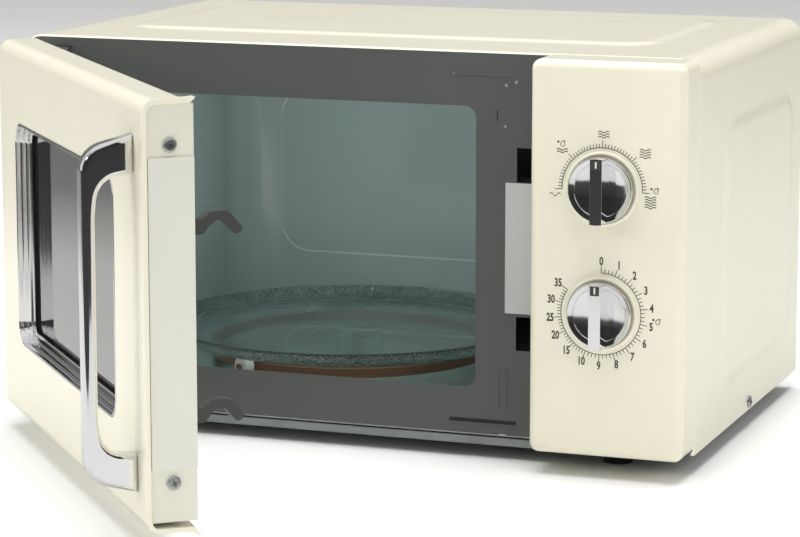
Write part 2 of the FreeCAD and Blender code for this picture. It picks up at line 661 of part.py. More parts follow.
def make_turntable():
    centre = (cell("tray_x"), cell("tray_y"), 0)
    motor = rod("motor_can", "Z", (0, 0, "foot_height + 2"), "24",
                "cavity_floor - gauge - foot_height - 2")
    bore = rod("motor_bore", "Z", (0, 0, "foot_height + 6"), "3.4 + shaft_gap", "20")
    keep(cut("motor_cut", motor, [bore]), "turntable_motor", at=centre)
    hub = rod("coupler_hub", "Z", (0, 0, "cavity_floor + 0.5"), "8",
              "tray_under - 0.4 - cavity_floor - 0.5")
    arms = []
    for i in range(3):
        arm = doc.addObject("Part::Box", "coupler_arm_%d" % i)
        bind(arm, "Length", "20")
        bind(arm, "Width", "6")
        bind(arm, "Height", "tray_under - 0.4 - cavity_floor - 2")
        turn = Rotation(Vector(0, 0, 1), 30 + 120 * i)
        arm.Placement = Placement(turn.multVec(Vector(0, -3, 0)) + Vector(0, 0, cell("cavity_floor") + 2),
                                  turn)
        arms.append(arm)
    stem = rod("coupler_stem", "Z", (0, 0, "foot_height + 8"), "3.4", "cavity_floor - foot_height - 7")
    keep(fuse("coupler_fused", [hub, stem] + arms), "coupler", at=centre)
    tray = revolve("tray_turned", [
        ("0", "tray_under"), ("tray_radius - 16", "tray_under"), ("tray_radius - 5.5", "tray_under + 4"),
        ("tray_radius - 1", "tray_rim - 3"), ("tray_radius", "tray_rim - 1"),
        ("tray_radius - 1", "tray_rim"), ("tray_radius - 4", "tray_rim"),
        ("tray_radius - 10", "tray_under + tray_glass + 2"),
        ("tray_radius - 20", "tray_under + tray_glass"), ("0", "tray_under + tray_glass")])
    under = cell("tray_under")
    lugs = [ring_sector("tray_lug_%d" % i, 15.0, 18.5, 90 + 120 * i, 50, under - 4, under + 1)
            for i in range(3)]
    keep(fuse("tray_fused", [tray] + lugs), "glass_tray", at=centre)


def make_roller_ring():
    """A moulded ring with three stub axles; a wheel turns on each axle."""
    centre = (cell("tray_x"), cell("tray_y"), 0)
    height = cell("cavity_floor") + 0.35 + cell("roller_radius")
    outside = rod("roller_band_outside", "Z", (0, 0, height - 3), "roller_circle - 5", "6")
    inside = rod("roller_band_inside", "Z", (0, 0, height - 4), "roller_circle - 11", "8")
    axles = []
    for i in range(3):
        turn = Rotation(Vector(0, 0, 1), cell("roller_turn") + 120 * i)
        for tag, start, radius, length in (("pin", -6, "axle_radius", 11.5), ("cap", 4.3, "2.6", 1.2)):
            axle = doc.addObject("Part::Cylinder", "axle_%s_%d" % (tag, i))
            bind(axle, "Radius", radius)
            bind(axle, "Height", length)
            reach = cell("roller_circle") + start
            axle.Placement = Placement(turn.multVec(Vector(reach, 0, height)),
                                       turn.multiply(Rotation(Vector(0, 1, 0), 90)))
            axles.append(axle)
    keep(fuse("ring_fused", [cut("band", outside, [inside])] + axles), "roller_ring", at=centre)
    for i in range(3):
        wheel = revolve("wheel_%d" % i, [
            ("axle_radius + shaft_gap", "-roller_width / 2"), ("roller_radius - 1", "-roller_width / 2"),
            ("roller_radius", "1 - roller_width / 2"), ("roller_radius", "roller_width / 2 - 1"),
            ("roller_radius - 1", "roller_width / 2"), ("axle_radius + shaft_gap", "roller_width / 2")])
        turn = Rotation(Vector(0, 0, 1), cell("roller_turn") + 120 * i)
        spot = turn.multVec(Vector(cell("roller_circle"), 0, height))
        at = (centre[0] + spot.x, centre[1] + spot.y, spot.z)
        keep(wheel, "roller_%d" % (i + 1), at=at, turn=turn.multiply(Rotation(Vector(0, 1, 0), 90)))


# ---- Door ----

def make_door_shell():
    body = new_body("door_body")
    far = door_x("door_width")
    near = door_x("0")
    outer = door_y("door_depth")
    inner = door_y("door_gap")
    pad(body, "door_block", "Z", rectangle((near, outer), (far, inner)), "door_low", "door_top - door_low")
    fillet(body, "hinge_edge", "6",
           lambda e: runs_along(e, "Z") and e.CenterOfMass.x < 0 and e.CenterOfMass.y > 0)
    fillet(body, "door_uprights", "5", lambda e: runs_along(e, "Z") and e.CenterOfMass.y < 0)
    fillet(body, "front_rims", "8",
           lambda e: runs_along(e, "X") and e.CenterOfMass.y < -10)
    hollow = [(door_x("stile_width"), door_y("door_depth - door_wall")),
              (door_x("door_width + 5"), door_y("door_depth - door_wall")),
              (door_x("door_width + 5"), door_y("-5")), (door_x("stile_width"), door_y("-5"))]
    pocket(body, "door_hollow", "Z", hollow, "door_low + door_wall",
           "door_top - door_low - 2 * door_wall")
    window = rectangle((door_x("bezel_left - 0.2"), "bezel_low - 0.2"),
                       (door_x("bezel_right + 0.2"), "bezel_top + 0.2"))
    pocket(body, "window_hole", "Y", window, door_y("door_depth + 1"), "door_wall + 3")
    fillet(body, "window_corners", "bezel_radius",
           lambda e: runs_along(e, "Y") and e.Length < 4 and 60 < e.CenterOfMass.z < 220
           and 20 < e.CenterOfMass.x < 300)
    for name, low in (("upper_arm_slot", "door_top - 9"), ("lower_arm_slot", "door_low + 4.6")):
        outline = [(door_x("-3"), door_y("hinge_forward + 7")),
                   (door_x("38"), door_y("hinge_forward + 7")),
                   (door_x("38"), door_y("-4")), (door_x("-3"), door_y("-4"))]
        pocket(body, name, "Z", outline, low, "hinge_slot")
    hole(body, "upper_pin_hole", "Z", ("0", "0"), "hinge_pin_radius + shaft_gap", "door_top - 22", "16")
    hole(body, "lower_pin_hole", "Z", ("0", "0"), "hinge_pin_radius + shaft_gap", "door_low + 6", "16")
    keep(body, "door_shell", seat=door_seat)


HANDLE_SCREW_HEIGHTS = ("handle_low + 12", "handle_top - 12")


def make_door_frame():
    pan = door_block("pan_block", ("frame_left", "frame_right"), ("1.6", "frame_depth"),
                     ("frame_low", "frame_top"))
    hollow = door_block("pan_hollow", ("frame_left + gauge", "frame_right - gauge"),
                        ("-2", "frame_depth - gauge"), ("frame_low + gauge", "frame_top - gauge"))
    openings = [hollow, door_block("pan_window", ("bezel_left - 1.5", "bezel_right + 1.5"), ("10", "40"),
                                   ("bezel_low - 1.5", "bezel_top + 1.5"))]
    for i, z in enumerate(HANDLE_SCREW_HEIGHTS):
        at = (door_x("handle_left + 6"), door_y("frame_depth + 1"), z)
        openings.append(rod("handle_screw_hole_%d" % i, "Y", at, "4.2", "3"))
    keep(cut("pan_cut", pan, openings), "door_frame", seat=door_seat)


def make_choke_cover():
    ring = door_block("cover_ring", ("stile_width + 0.5", "door_width"), ("door_gap", "1.6"),
                      ("frame_low", "frame_top"))
    window = door_block("cover_window", ("bezel_left + 14", "bezel_right - 14"), ("-5", "10"),
                        ("bezel_low + 12", "bezel_top - 12"))
    strip = door_block("cover_strip", ("frame_right", "door_width"), ("door_gap", "frame_depth - 0.6"),
                       ("frame_low + 30", "frame_top - 29"))
    trims = []
    for name, low in (("cover_slot_low", "hook_low_z - 16"), ("cover_slot_high", "hook_high_z - 16")):
        trims.append(door_block(name, ("hook_left - 1.5", "hook_right + 1.5"), ("-5", "10"),
                                (low, low + " + 22")))
    for name, low in (("cover_arm_high", "door_top - 9"), ("cover_arm_low", "door_low + 4.6")):
        trims.append(door_block(name, ("0", "38"), ("-5", "10"), (low, low + " + hinge_slot")))
    for name, low, high in (("cover_low_end", "door_low", "frame_low + 30"),
                            ("cover_high_end", "frame_top - 29", "door_top")):
        trims.append(door_block(name, ("frame_right", "door_width + 2"), ("-5", "40"), (low, high)))
    keep(cut("cover_cut", fuse("cover_fused", [ring, strip]), [window] + trims), "choke_cover",
         seat=door_seat)


def make_window():
    keep(door_block("screen_sheet", ("bezel_left + 6", "bezel_right - 6"), ("10", "10.6"),
                    ("bezel_low + 6", "bezel_top - 6")), "window_screen", seat=door_seat)
    keep(door_block("film_sheet", ("bezel_left + 8", "bezel_right - 8"), ("1.8", "2.6"),
                    ("bezel_low + 8", "bezel_top - 8")), "inner_film", seat=door_seat)
    pane = door_block("pane_sheet", ("bezel_left + 1", "bezel_right - 1"),
                      ("glass_depth - glass_thickness", "glass_depth"), ("bezel_low + 1", "bezel_top - 1"))
    keep(pane, "window_glass", seat=door_seat)
    frame = rounded_window("bezel_outside", "0", ("glass_depth", "door_depth + 0.2"), 14)
    deep = rounded_window("bezel_deep_hole", "bezel_step", ("10", "door_depth + 5"), 8.5)
    wide = rounded_window("bezel_wide_hole", "bezel_wall", ("glass_depth + 5.5", "door_depth + 5"), 12)
    keep(cut("bezel_cut", frame, [deep, wide]), "window_bezel", seat=door_seat)


def rounded_window(name, inset, out, radius):
    """A block the shape of the window, drawn in by an inset, with round corners."""
    item = door_block(name + "_block", ("bezel_left + " + inset, "bezel_right - " + inset), out,
                      ("bezel_low + " + inset, "bezel_top - " + inset))
    return rounded(name, item, radius, lambda e: runs_along(e, "Y"))


def make_handle():
    """An upright bar on two broad roots, cut from a profile seen from the free edge."""
    body = new_body("handle_body")
    base = "door_depth + 0.05"
    outer = [("handle_reach - 6", 8), ("handle_reach - 1.5", 12.5), ("handle_reach", 22)]
    inner = [("handle_inner", 42), ("handle_inner - 2.4", 31), ("handle_inner - 8.4", 24.5)]
    outline = [(door_y(base), "handle_top")]
    outline += [(door_y(out), "handle_top - %s" % drop) for out, drop in outer]
    outline += [(door_y(out), "handle_low + %s" % rise) for out, rise in reversed(outer)]
    outline += [(door_y(base), "handle_low"), (door_y(base), "handle_low + handle_root")]
    outline += [(door_y(out), "handle_low + %s" % rise) for out, rise in reversed(inner)]
    outline += [(door_y(out), "handle_top - %s" % drop) for out, drop in inner]
    outline += [(door_y(base), "handle_top - handle_root")]
    pad(body, "handle_profile", "X", outline, door_x("handle_left"), "handle_right - handle_left")
    fillet(body, "handle_bends", "9",
           lambda e: runs_along(e, "X") and e.CenterOfMass.y < -22)
    keep(body, "door_handle", seat=door_seat)
    screws = []
    for i, z in enumerate(HANDLE_SCREW_HEIGHTS):
        at = (door_x("handle_left + 6"), door_y("door_depth - door_wall"), z)
        screws.append(rod("handle_screw_%d" % i, "Y", at, "3.5", "2.4"))
    keep(group("handle_screws_group", screws), "handle_screws", seat=door_seat)


def make_door_screws():
    screws = []
    for i, z in enumerate(("door_low + 27.7", "door_top - 25.4")):
        at = (door_x("frame_right"), door_y("14.4"), z)
        head = rod("door_screw_head_%d" % i, "X", at, "3.7", "1.6")
        screws.append(rounded("door_screw_%d" % i, head, 0.9, lambda e: e.CenterOfMass.x > 346.5))
    keep(group("door_screws_group", screws), "door_screws", seat=door_seat)


# Distance outwards from the front plate and drop below the top of the hump, root to tip and back.
HOOK_PROFILE = (("6", "13"), ("6", "4.2"), ("-4.5", "4.2"), ("-9", "0.4"), ("-12", "0"), ("-17.5", "0"),
                ("-20", "1"), ("-hook_reach", "9.5"), ("-hook_reach + 0.4", "11.5"),
                ("-hook_reach + 3", "13.2"), ("-hook_reach + 5", "12.6"), ("-16.5", "5.5"),
                ("-12.5", "5"), ("-8.5", "8"), ("-5", "12.5"))


def make_latch_hooks():
    """A sliding bar in the door's free edge with two hooks that reach back through the cover."""
    body = new_body("hooks_body")
    spine = rectangle((door_y("10"), "hook_low_z - 14"), (door_y("5"), "hook_high_z + 4"))
    pad(body, "hook_spine", "X", spine, door_x("hook_left"), "hook_right - hook_left")
    for name, top in (("lower_hook", "hook_low_z"), ("upper_hook", "hook_high_z")):
        outline = [(door_y(out), top + " - " + drop) for out, drop in HOOK_PROFILE]
        pad(body, name, "X", outline, door_x("hook_left"), "hook_right - hook_left")
    keep(body, "latch_hooks", seat=door_seat)


make_casing()
make_base_plate()
make_rear_panel()
make_front_plate()
make_cavity_liner()
make_control_panel()
make_dial_rings()
make_feet()
make_hinge_brackets()
make_latch_bracket()
make_door_switches()
make_cabinet_trim()
make_microwave_source()
make_power_supply()
make_fan()
make_lamp()
make_controls()
make_knob("power_knob", "power_z")
make_knob("timer_knob", "timer_z")
make_turntable()
make_roller_ring()
make_door_shell()
make_door_frame()
make_choke_cover()
make_window()
make_handle()
make_door_screws()
make_latch_hooks()

# ---- Check and write ----

doc.recompute()
failed = [item.Name for item in doc.Objects if "Invalid" in item.State or "Error" in item.State]
if failed:
    raise RuntimeError("failed to compute: " + ", ".join(failed))
for item in sub_parts:
    if item.Shape.isNull() or not item.Shape.isValid():
        raise RuntimeError("%s has no valid shape" % item.Label)
os.makedirs("parts", exist_ok=True)
for item in sub_parts:
    item.Shape.exportStep("parts/%s.step" % item.Label)
    print(item.Label, len(item.Shape.Solids), round(item.Shape.Volume))
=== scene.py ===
import json
import math
import bmesh
import bpy
from mathutils import Matrix, Vector


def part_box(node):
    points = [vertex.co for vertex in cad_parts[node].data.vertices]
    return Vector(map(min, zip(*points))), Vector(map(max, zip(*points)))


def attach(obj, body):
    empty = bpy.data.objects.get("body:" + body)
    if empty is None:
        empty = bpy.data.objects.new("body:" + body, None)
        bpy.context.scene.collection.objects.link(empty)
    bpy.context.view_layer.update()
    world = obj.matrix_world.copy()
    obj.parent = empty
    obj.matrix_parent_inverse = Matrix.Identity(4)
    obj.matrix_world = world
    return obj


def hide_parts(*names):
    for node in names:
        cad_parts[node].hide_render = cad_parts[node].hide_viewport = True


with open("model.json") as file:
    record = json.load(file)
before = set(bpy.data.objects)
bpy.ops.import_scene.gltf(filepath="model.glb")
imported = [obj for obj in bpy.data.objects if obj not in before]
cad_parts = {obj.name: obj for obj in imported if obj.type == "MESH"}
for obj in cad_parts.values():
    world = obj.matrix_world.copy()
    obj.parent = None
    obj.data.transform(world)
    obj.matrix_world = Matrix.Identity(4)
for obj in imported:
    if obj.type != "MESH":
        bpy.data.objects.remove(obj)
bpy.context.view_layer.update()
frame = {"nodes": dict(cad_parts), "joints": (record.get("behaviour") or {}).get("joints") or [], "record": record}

MM = 0.001
nodes = frame["nodes"]
joints = {joint["name"]: joint for joint in frame["joints"]}
hinge = Vector(joints["door_hinge"]["pos_m"])
door_open = math.radians(-joints["door_hinge"]["range_deg"][0])
# Door pieces are drawn with the door shut: X from its hinge edge, Y minus the distance out, Z up.
HINGE_INSET, HINGE_FORWARD = 8.6, 15.7
door_place = (Matrix.Translation((hinge.x, hinge.y, 0)) @ Matrix.Rotation(-door_open, 4, "Z")
              @ Matrix.Translation((-HINGE_INSET * MM, HINGE_FORWARD * MM, 0)))


# ---- Shader groups ----

def new_group(name, inputs, outputs):
    """An empty shader group: inputs are (name, kind, value), outputs (name, kind)."""
    group = bpy.data.node_groups.new(name, "ShaderNodeTree")
    for label, kind, value in inputs:
        socket = group.interface.new_socket(label, in_out="INPUT", socket_type="NodeSocket" + kind)
        if value is not None:
            socket.default_value = value
    for label, kind in outputs:
        group.interface.new_socket(label, in_out="OUTPUT", socket_type="NodeSocket" + kind)
    return group, group.nodes.new("NodeGroupInput").outputs, group.nodes.new("NodeGroupOutput").inputs


def feed(tree, socket, value):
    """Links a socket into another, or sets its value."""
    if isinstance(value, bpy.types.NodeSocket):
        tree.links.new(value, socket)
    else:
        socket.default_value = value


def maths(tree, operation, *values):
    """One sum on sockets or numbers."""
    node = tree.nodes.new("ShaderNodeMath")
    node.operation = operation
    for socket, value in zip(node.inputs, values):
        feed(tree, socket, value)
    return node.outputs[0]


def ramp(tree, value, low, high, low_out=0.0, high_out=1.0):
    """A value stretched from one range to another, and held inside it."""
    node = tree.nodes.new("ShaderNodeMapRange")
    for socket, item in zip(node.inputs, (value, low, high, low_out, high_out)):
        feed(tree, socket, item)
    return node.outputs[0]


def mix(tree, share, first, second, blend="MIX"):
    """Two colours blended by a share."""
    node = tree.nodes.new("ShaderNodeMix")
    node.data_type = "RGBA"
    node.blend_type = blend
    for label, item in (("Factor_Float", share), ("A_Color", first), ("B_Color", second)):
        feed(tree, next(s for s in node.inputs if s.identifier == label), item)
    return next(s for s in node.outputs if s.identifier == "Result_Color")


def noise(tree, vector, scale, detail=3.0, roughness=0.55):
    """Cloudy noise from 0 to 1."""
    node = tree.nodes.new("ShaderNodeTexNoise")
    for label, item in (("Vector", vector), ("Scale", scale), ("Detail", detail), ("Roughness", roughness)):
        feed(tree, node.inputs[label], item)
    return node.outputs["Fac"]


def cells(tree, vector, scale, output="Distance"):
    """Random cells: the distance to the nearest one's middle, or that cell's own colour."""
    node = tree.nodes.new("ShaderNodeTexVoronoi")
    feed(tree, node.inputs["Vector"], vector)
    feed(tree, node.inputs["Scale"], scale)
    return node.outputs[output]


def placed(tree, vector, turn=(0, 0, 0), scale=(1, 1, 1), shift=(0, 0, 0)):
    """A vector scaled, then turned, then shifted."""
    node = tree.nodes.new("ShaderNodeMapping")
    feed(tree, node.inputs["Vector"], vector)
    node.inputs["Location"].default_value = shift
    node.inputs["Rotation"].default_value = turn
    node.inputs["Scale"].default_value = scale
    return node.outputs[0]


def make_skin_group():
    """The ripple of sprayed paint, or the fine texture of moulded plastic, as a height."""
    group, given, out = new_group("skin", (("Vector", "Vector", None), ("Scale", "Float", 300.0),
                                           ("Depth", "Float", 0.5)), (("Height", "Float"),))
    broad = noise(group, given["Vector"], given["Scale"], 2.0)
    fine = noise(group, given["Vector"], maths(group, "MULTIPLY", given["Scale"], 3.7), 2.0)
    both = maths(group, "ADD", maths(group, "MULTIPLY", broad, 0.7), maths(group, "MULTIPLY", fine, 0.3))
    feed(group, out["Height"], maths(group, "MULTIPLY", both, given["Depth"]))
    return group


def make_tone_group():
    """Uneven tone, wiped smears and settled dust: a colour and a roughness."""
    group, given, out = new_group(
        "tone", (("Vector", "Vector", None), ("Color", "Color", None), ("Dust Color", "Color", None),
                 ("Roughness", "Float", 0.3), ("Unevenness", "Float", 0.05), ("Smears", "Float", 0.05),
                 ("Dust", "Float", 0.1)), (("Color", "Color"), ("Roughness", "Float")))
    cloud = ramp(group, noise(group, given["Vector"], 9.0, 4.0), 0.3, 0.7, -1.0, 1.0)
    level = maths(group, "ADD", maths(group, "MULTIPLY", cloud, given["Unevenness"]), 1.0)
    grey = group.nodes.new("ShaderNodeCombineColor")
    for socket in grey.inputs[:3]:
        feed(group, socket, level)
    toned = mix(group, 1.0, given["Color"], grey.outputs[0], "MULTIPLY")
    geometry = group.nodes.new("ShaderNodeNewGeometry")
    split = group.nodes.new("ShaderNodeSeparateXYZ")
    feed(group, split.inputs[0], geometry.outputs["Normal"])
    upward = ramp(group, split.outputs["Z"], 0.2, 1.0)
    specks = ramp(group, noise(group, given["Vector"], 900.0, 3.0, 0.7), 0.52, 0.75)
    drift = ramp(group, noise(group, given["Vector"], 22.0, 4.0), 0.35, 0.75)
    settled = maths(group, "MULTIPLY", maths(group, "MULTIPLY", specks, drift), upward)
    dust = maths(group, "MULTIPLY", settled, given["Dust"])
    feed(group, out["Color"], mix(group, dust, toned, given["Dust Color"]))
    wiped = placed(group, given["Vector"], turn=(0.4, 0.9, 0.5), scale=(1, 2.5, 1))
    smear = ramp(group, noise(group, wiped, 9.0, 4.0, 0.6), 0.3, 0.8)
    rough = maths(group, "ADD", given["Roughness"], maths(group, "MULTIPLY", smear, given["Smears"]))
    feed(group, out["Roughness"], maths(group, "ADD", rough, maths(group, "MULTIPLY", dust, 0.5)))
    return group


def make_grain_group():
    """Rolling or brushing marks along one direction: a height and a streak mask."""
    group, given, out = new_group("grain", (("Vector", "Vector", None), ("Scale", "Float", 500.0)),
                                  (("Height", "Float"), ("Streak", "Float")))
    drawn = placed(group, given["Vector"], scale=(0.04, 1, 1))
    lines = noise(group, drawn, given["Scale"], 4.0, 0.65)
    feed(group, out["Height"], lines)
    feed(group, out["Streak"], ramp(group, lines, 0.35, 0.7))
    return group


def make_spangle_group():
    """The flaky crystals of zinc coating, as a mask."""
    group, given, out = new_group("spangle", (("Vector", "Vector", None), ("Scale", "Float", 140.0)),
                                  (("Flake", "Float"),))
    bent = mix(group, 0.012, given["Vector"], cells(group, given["Vector"], 60.0, output="Color"))
    split = group.nodes.new("ShaderNodeSeparateColor")
    feed(group, split.inputs[0], cells(group, bent, given["Scale"], output="Color"))
    feed(group, out["Flake"], split.outputs[0])
    return group


SKIN, TONE, GRAIN, SPANGLE = make_skin_group(), make_tone_group(), make_grain_group(), make_spangle_group()


# ---- Finishes ----

def new_finish(name, **plain):
    """A material and its shader. The plain values go straight on the shader's sockets."""
    finish = bpy.data.materials.new(name)
    finish.use_nodes = True
    tree = finish.node_tree
    shader = tree.nodes["Principled BSDF"]
    for label, value in plain.items():
        shader.inputs[label.replace("_", " ")].default_value = value
    place = tree.nodes.new("ShaderNodeTexCoord").outputs["Object"]
    return finish, tree, shader.inputs, place


def placed_group(tree, group, **given):
    """A shader group set in a material, with its own values."""
    node = tree.nodes.new("ShaderNodeGroup")
    node.node_tree = group
    for label, value in given.items():
        feed(tree, node.inputs[label.replace("_", " ")], value)
    return node.outputs


def bump(tree, sockets, height, strength, distance):
    """Feeds a height to the shader as a bump."""
    node = tree.nodes.new("ShaderNodeBump")
    node.inputs["Strength"].default_value = strength
    node.inputs["Distance"].default_value = distance
    feed(tree, node.inputs["Height"], height)
    feed(tree, sockets["Normal"], node.outputs[0])


DUST_COLOUR = (0.62, 0.58, 0.52, 1)


def painted(name, colour, roughness, scale=260.0, depth=0.5, height=0.00004, uneven=0.02, smears=0.06,
            dust=0.15, **plain):
    """Paint or moulded plastic: a rippled skin, uneven tone, smears and dust."""
    finish, tree, sockets, place = new_finish(name, **plain)
    tone = placed_group(tree, TONE, Vector=place, Color=(*colour, 1), Dust_Color=DUST_COLOUR,
                        Roughness=roughness, Unevenness=uneven, Smears=smears, Dust=dust)
    feed(tree, sockets["Base Color"], tone["Color"])
    feed(tree, sockets["Roughness"], tone["Roughness"])
    skin = placed_group(tree, SKIN, Vector=place, Scale=scale, Depth=depth)
    bump(tree, sockets, skin["Height"], 1.0, height)
    return finish


def bare_metal(name, colour, roughness, flake=0.0, streak=0.1, scale=500.0, height=0.00001):
    """Sheet metal with rolling marks and, where it is zinc coated, spangle."""
    finish, tree, sockets, place = new_finish(name, Metallic=1.0)
    grain = placed_group(tree, GRAIN, Vector=place, Scale=scale)
    flakes = placed_group(tree, SPANGLE, Vector=place)
    darker = tuple(0.72 * part for part in colour)
    level = maths(tree, "ADD", maths(tree, "MULTIPLY", flakes["Flake"], flake),
                  maths(tree, "MULTIPLY", grain["Streak"], streak))
    base = mix(tree, level, (*colour, 1), (*darker, 1))
    tone = placed_group(tree, TONE, Vector=place, Color=base, Dust_Color=DUST_COLOUR, Roughness=roughness,
                        Unevenness=0.04, Smears=0.1, Dust=0.15)
    feed(tree, sockets["Base Color"], tone["Color"])
    feed(tree, sockets["Roughness"], maths(tree, "ADD", tone["Roughness"],
                                           maths(tree, "MULTIPLY", level, 0.15)))
    bump(tree, sockets, grain["Height"], 0.6, height)
    return finish


# The tray's stipple: its radii and soft edge in millimetres, and the scale and height of its beads.
STIPPLE_INNER, STIPPLE_OUTER, STIPPLE_FADE, BEAD_SCALE, BEAD_HEIGHT = 115.5, 127.4, 0.8, 620.0, 14.0


def glass(name, colour, roughness, centre=None):
    """Clear glass or film. Where a centre is given, a ring of beads is pressed into it."""
    finish, tree, sockets, place = new_finish(name, Transmission_Weight=1.0, IOR=1.5)
    tone = placed_group(tree, TONE, Vector=place, Color=(*colour, 1), Dust_Color=DUST_COLOUR,
                        Roughness=roughness, Unevenness=0.02, Smears=0.04, Dust=0.0)
    feed(tree, sockets["Base Color"], tone["Color"])
    feed(tree, sockets["Roughness"], tone["Roughness"])
    skin = placed_group(tree, SKIN, Vector=place, Scale=60.0, Depth=0.6)["Height"]
    if centre is not None:
        inner, outer, fade = STIPPLE_INNER * MM, STIPPLE_OUTER * MM, STIPPLE_FADE * MM
        middle = placed(tree, place, shift=(-centre.x, -centre.y, 0), scale=(1, 1, 0))
        length = tree.nodes.new("ShaderNodeVectorMath")
        length.operation = "LENGTH"
        feed(tree, length.inputs[0], middle)
        radius = length.outputs["Value"]
        band = maths(tree, "MULTIPLY", ramp(tree, radius, inner - fade, inner),
                     ramp(tree, radius, outer, outer + fade, 1.0, 0.0))
        beads = maths(tree, "MULTIPLY", maths(tree, "SUBTRACT", 1.0, cells(tree, place, BEAD_SCALE)), band)
        skin = maths(tree, "ADD", maths(tree, "MULTIPLY", beads, BEAD_HEIGHT), skin)
    bump(tree, sockets, skin, 1.0, 0.00009)
    return finish


# The screen's holes: the pitch, and as shares of it the radius, the edge's width and its rounding.
HOLE_PITCH, HOLE_SHARE, HOLE_EDGE, HOLE_ROUND = 2.4, 0.34, 0.04, 0.12


def perforated(name, first, second):
    """A sheet with rows of round see-through holes, set out along the door."""
    finish, tree, sockets, place = new_finish(name, Metallic=1.0)
    lined = placed(tree, place, turn=(0, 0, door_open), scale=[1 / (HOLE_PITCH * MM)] * 3)
    split = tree.nodes.new("ShaderNodeSeparateXYZ")
    feed(tree, split.inputs[0], lined)
    squares = []
    for axis in ("X", "Z"):
        offset = maths(tree, "SUBTRACT", maths(tree, "FRACT", split.outputs[axis]), 0.5)
        squares.append(maths(tree, "MULTIPLY", offset, offset))
    away = maths(tree, "SQRT", maths(tree, "ADD", *squares))
    web = ramp(tree, away, HOLE_SHARE, HOLE_SHARE + HOLE_EDGE)
    cloud = noise(tree, place, 160.0)
    feed(tree, sockets["Base Color"], mix(tree, cloud, first, second))
    feed(tree, sockets["Roughness"], ramp(tree, cloud, 0.2, 0.8, 0.3, 0.5))
    feed(tree, sockets["Alpha"], web)
    bump(tree, sockets, ramp(tree, away, HOLE_SHARE, HOLE_SHARE + HOLE_ROUND), 0.6, 0.0001)
    return finish


tray_middle = (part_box("glass_tray")[0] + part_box("glass_tray")[1]) / 2
CREAM = (0.845, 0.812, 0.655)

finishes = {
    "cream_enamel": painted("cream enamel", CREAM, 0.24, 240.0, uneven=0.012, smears=0.02, dust=0.0,
                            Coat_Weight=0.5, Coat_Roughness=0.08),
    "cream_plastic": painted("cream plastic", CREAM, 0.2, 420.0, 0.3, uneven=0.012, smears=0.02, dust=0.0,
                             Coat_Weight=0.35, Coat_Roughness=0.06),
    "pale_cover_plastic": painted("pale cover plastic", (0.70, 0.70, 0.62), 0.42, 900.0),
    "pale_frame_paint": painted("pale frame paint", (0.74, 0.73, 0.62), 0.34, 300.0),
    "dark_grey_paint": painted("dark grey paint", (0.088, 0.092, 0.092), 0.36, 420.0, dust=0.3),
    "cavity_grey_paint": painted("cavity grey paint", (0.36, 0.455, 0.44), 0.24, 320.0, smears=0.015,
                                 dust=0.05, Coat_Weight=1.0, Coat_Roughness=0.05),
    "zinc_sheet": bare_metal("zinc sheet", (0.62, 0.64, 0.65), 0.32, flake=0.5),
    "foot_rubber": painted("foot rubber", (0.018, 0.018, 0.018), 0.7, 1200.0, height=0.0001),
    "grey_plastic": painted("grey plastic", (0.048, 0.052, 0.049), 0.36, 1500.0, height=0.00006),
    "pale_label_film": painted("pale label film", (0.50, 0.52, 0.51), 0.45, 900.0),
    "mica_sheet": painted("mica sheet", (0.52, 0.46, 0.36), 0.5, 120.0, uneven=0.12),
    "core_steel": bare_metal("core steel", (0.16, 0.16, 0.17), 0.5, streak=0.6, scale=1500.0),
    "copper_winding": bare_metal("copper winding", (0.62, 0.27, 0.13), 0.35, streak=0.7, scale=1800.0,
                                 height=0.0001),
    "fin_aluminium": bare_metal("fin aluminium", (0.78, 0.79, 0.80), 0.3, streak=0.3),
    "board_laminate": painted("board laminate", (0.36, 0.24, 0.09), 0.45, 500.0, uneven=0.08),
    "white_plastic": painted("white plastic", (0.80, 0.79, 0.75), 0.35, 800.0),
    "ring_plastic": painted("ring plastic", (0.22, 0.11, 0.06), 0.4, 700.0),
    "chrome_plate": bare_metal("chrome plate", (0.86, 0.86, 0.87), 0.045, streak=0.0, height=0.000001),
    "smoked_glass": painted("smoked glass", (0.02, 0.02, 0.021), 0.03, 30.0, height=0.000002, smears=0.03,
                            dust=0.0, Coat_Weight=1.0, Coat_Roughness=0.03, IOR=1.55),
    "clear_glass": glass("clear glass", (0.89, 0.982, 0.945), 0.02, centre=tray_middle),
    "clear_film": glass("clear film", (0.85, 0.86, 0.86), 0.08),
    "pan_sheet": bare_metal("pan sheet", (0.40, 0.43, 0.43), 0.36, flake=0.4),
    "coupler_plastic": painted("coupler plastic", (0.27, 0.33, 0.32), 0.35, 800.0),
    # Lighter than the cavity's paint, for the bead on its back wall: a painted highlight along the crease.
    "cavity_crease_painted_highlight": painted("cavity crease painted highlight", (0.56, 0.63, 0.61), 0.2, 320.0, Coat_Weight=1.0,
                             Coat_Roughness=0.05),
    "ink": painted("ink", (0.05, 0.05, 0.042), 0.5, 2000.0, dust=0.0),
}

for part in frame["record"]["subparts"]:
    piece = nodes[part["node"]]
    piece.data.materials.clear()
    piece.data.materials.append(finishes[part["material_slot"]])
nodes["base_plate"].data.materials[0] = finishes["pan_sheet"]
nodes["window_screen"].data.materials[0] = perforated("perforated screen", (0.34, 0.35, 0.36, 1),
                                                      (0.46, 0.47, 0.48, 1))
nodes["coupler"].data.materials[0] = finishes["coupler_plastic"]


# ---- Modelling ----

def path_edges(shape, points, closed=False):
    """Edges through X and Z points in millimetres; a third number rounds that corner."""
    verts = [shape.verts.new((point[0] * MM, 0, point[1] * MM)) for point in points]
    pairs = list(zip(verts, verts[1:])) + ([(verts[-1], verts[0])] if closed else [])
    for pair in pairs:
        shape.edges.new(pair)
    for vert, point in zip(verts, points):
        if len(point) == 3:
            bmesh.ops.bevel(shape, geom=[vert], affect="VERTICES", offset=point[2] * MM, segments=5,
                            profile=0.5, material=-1)


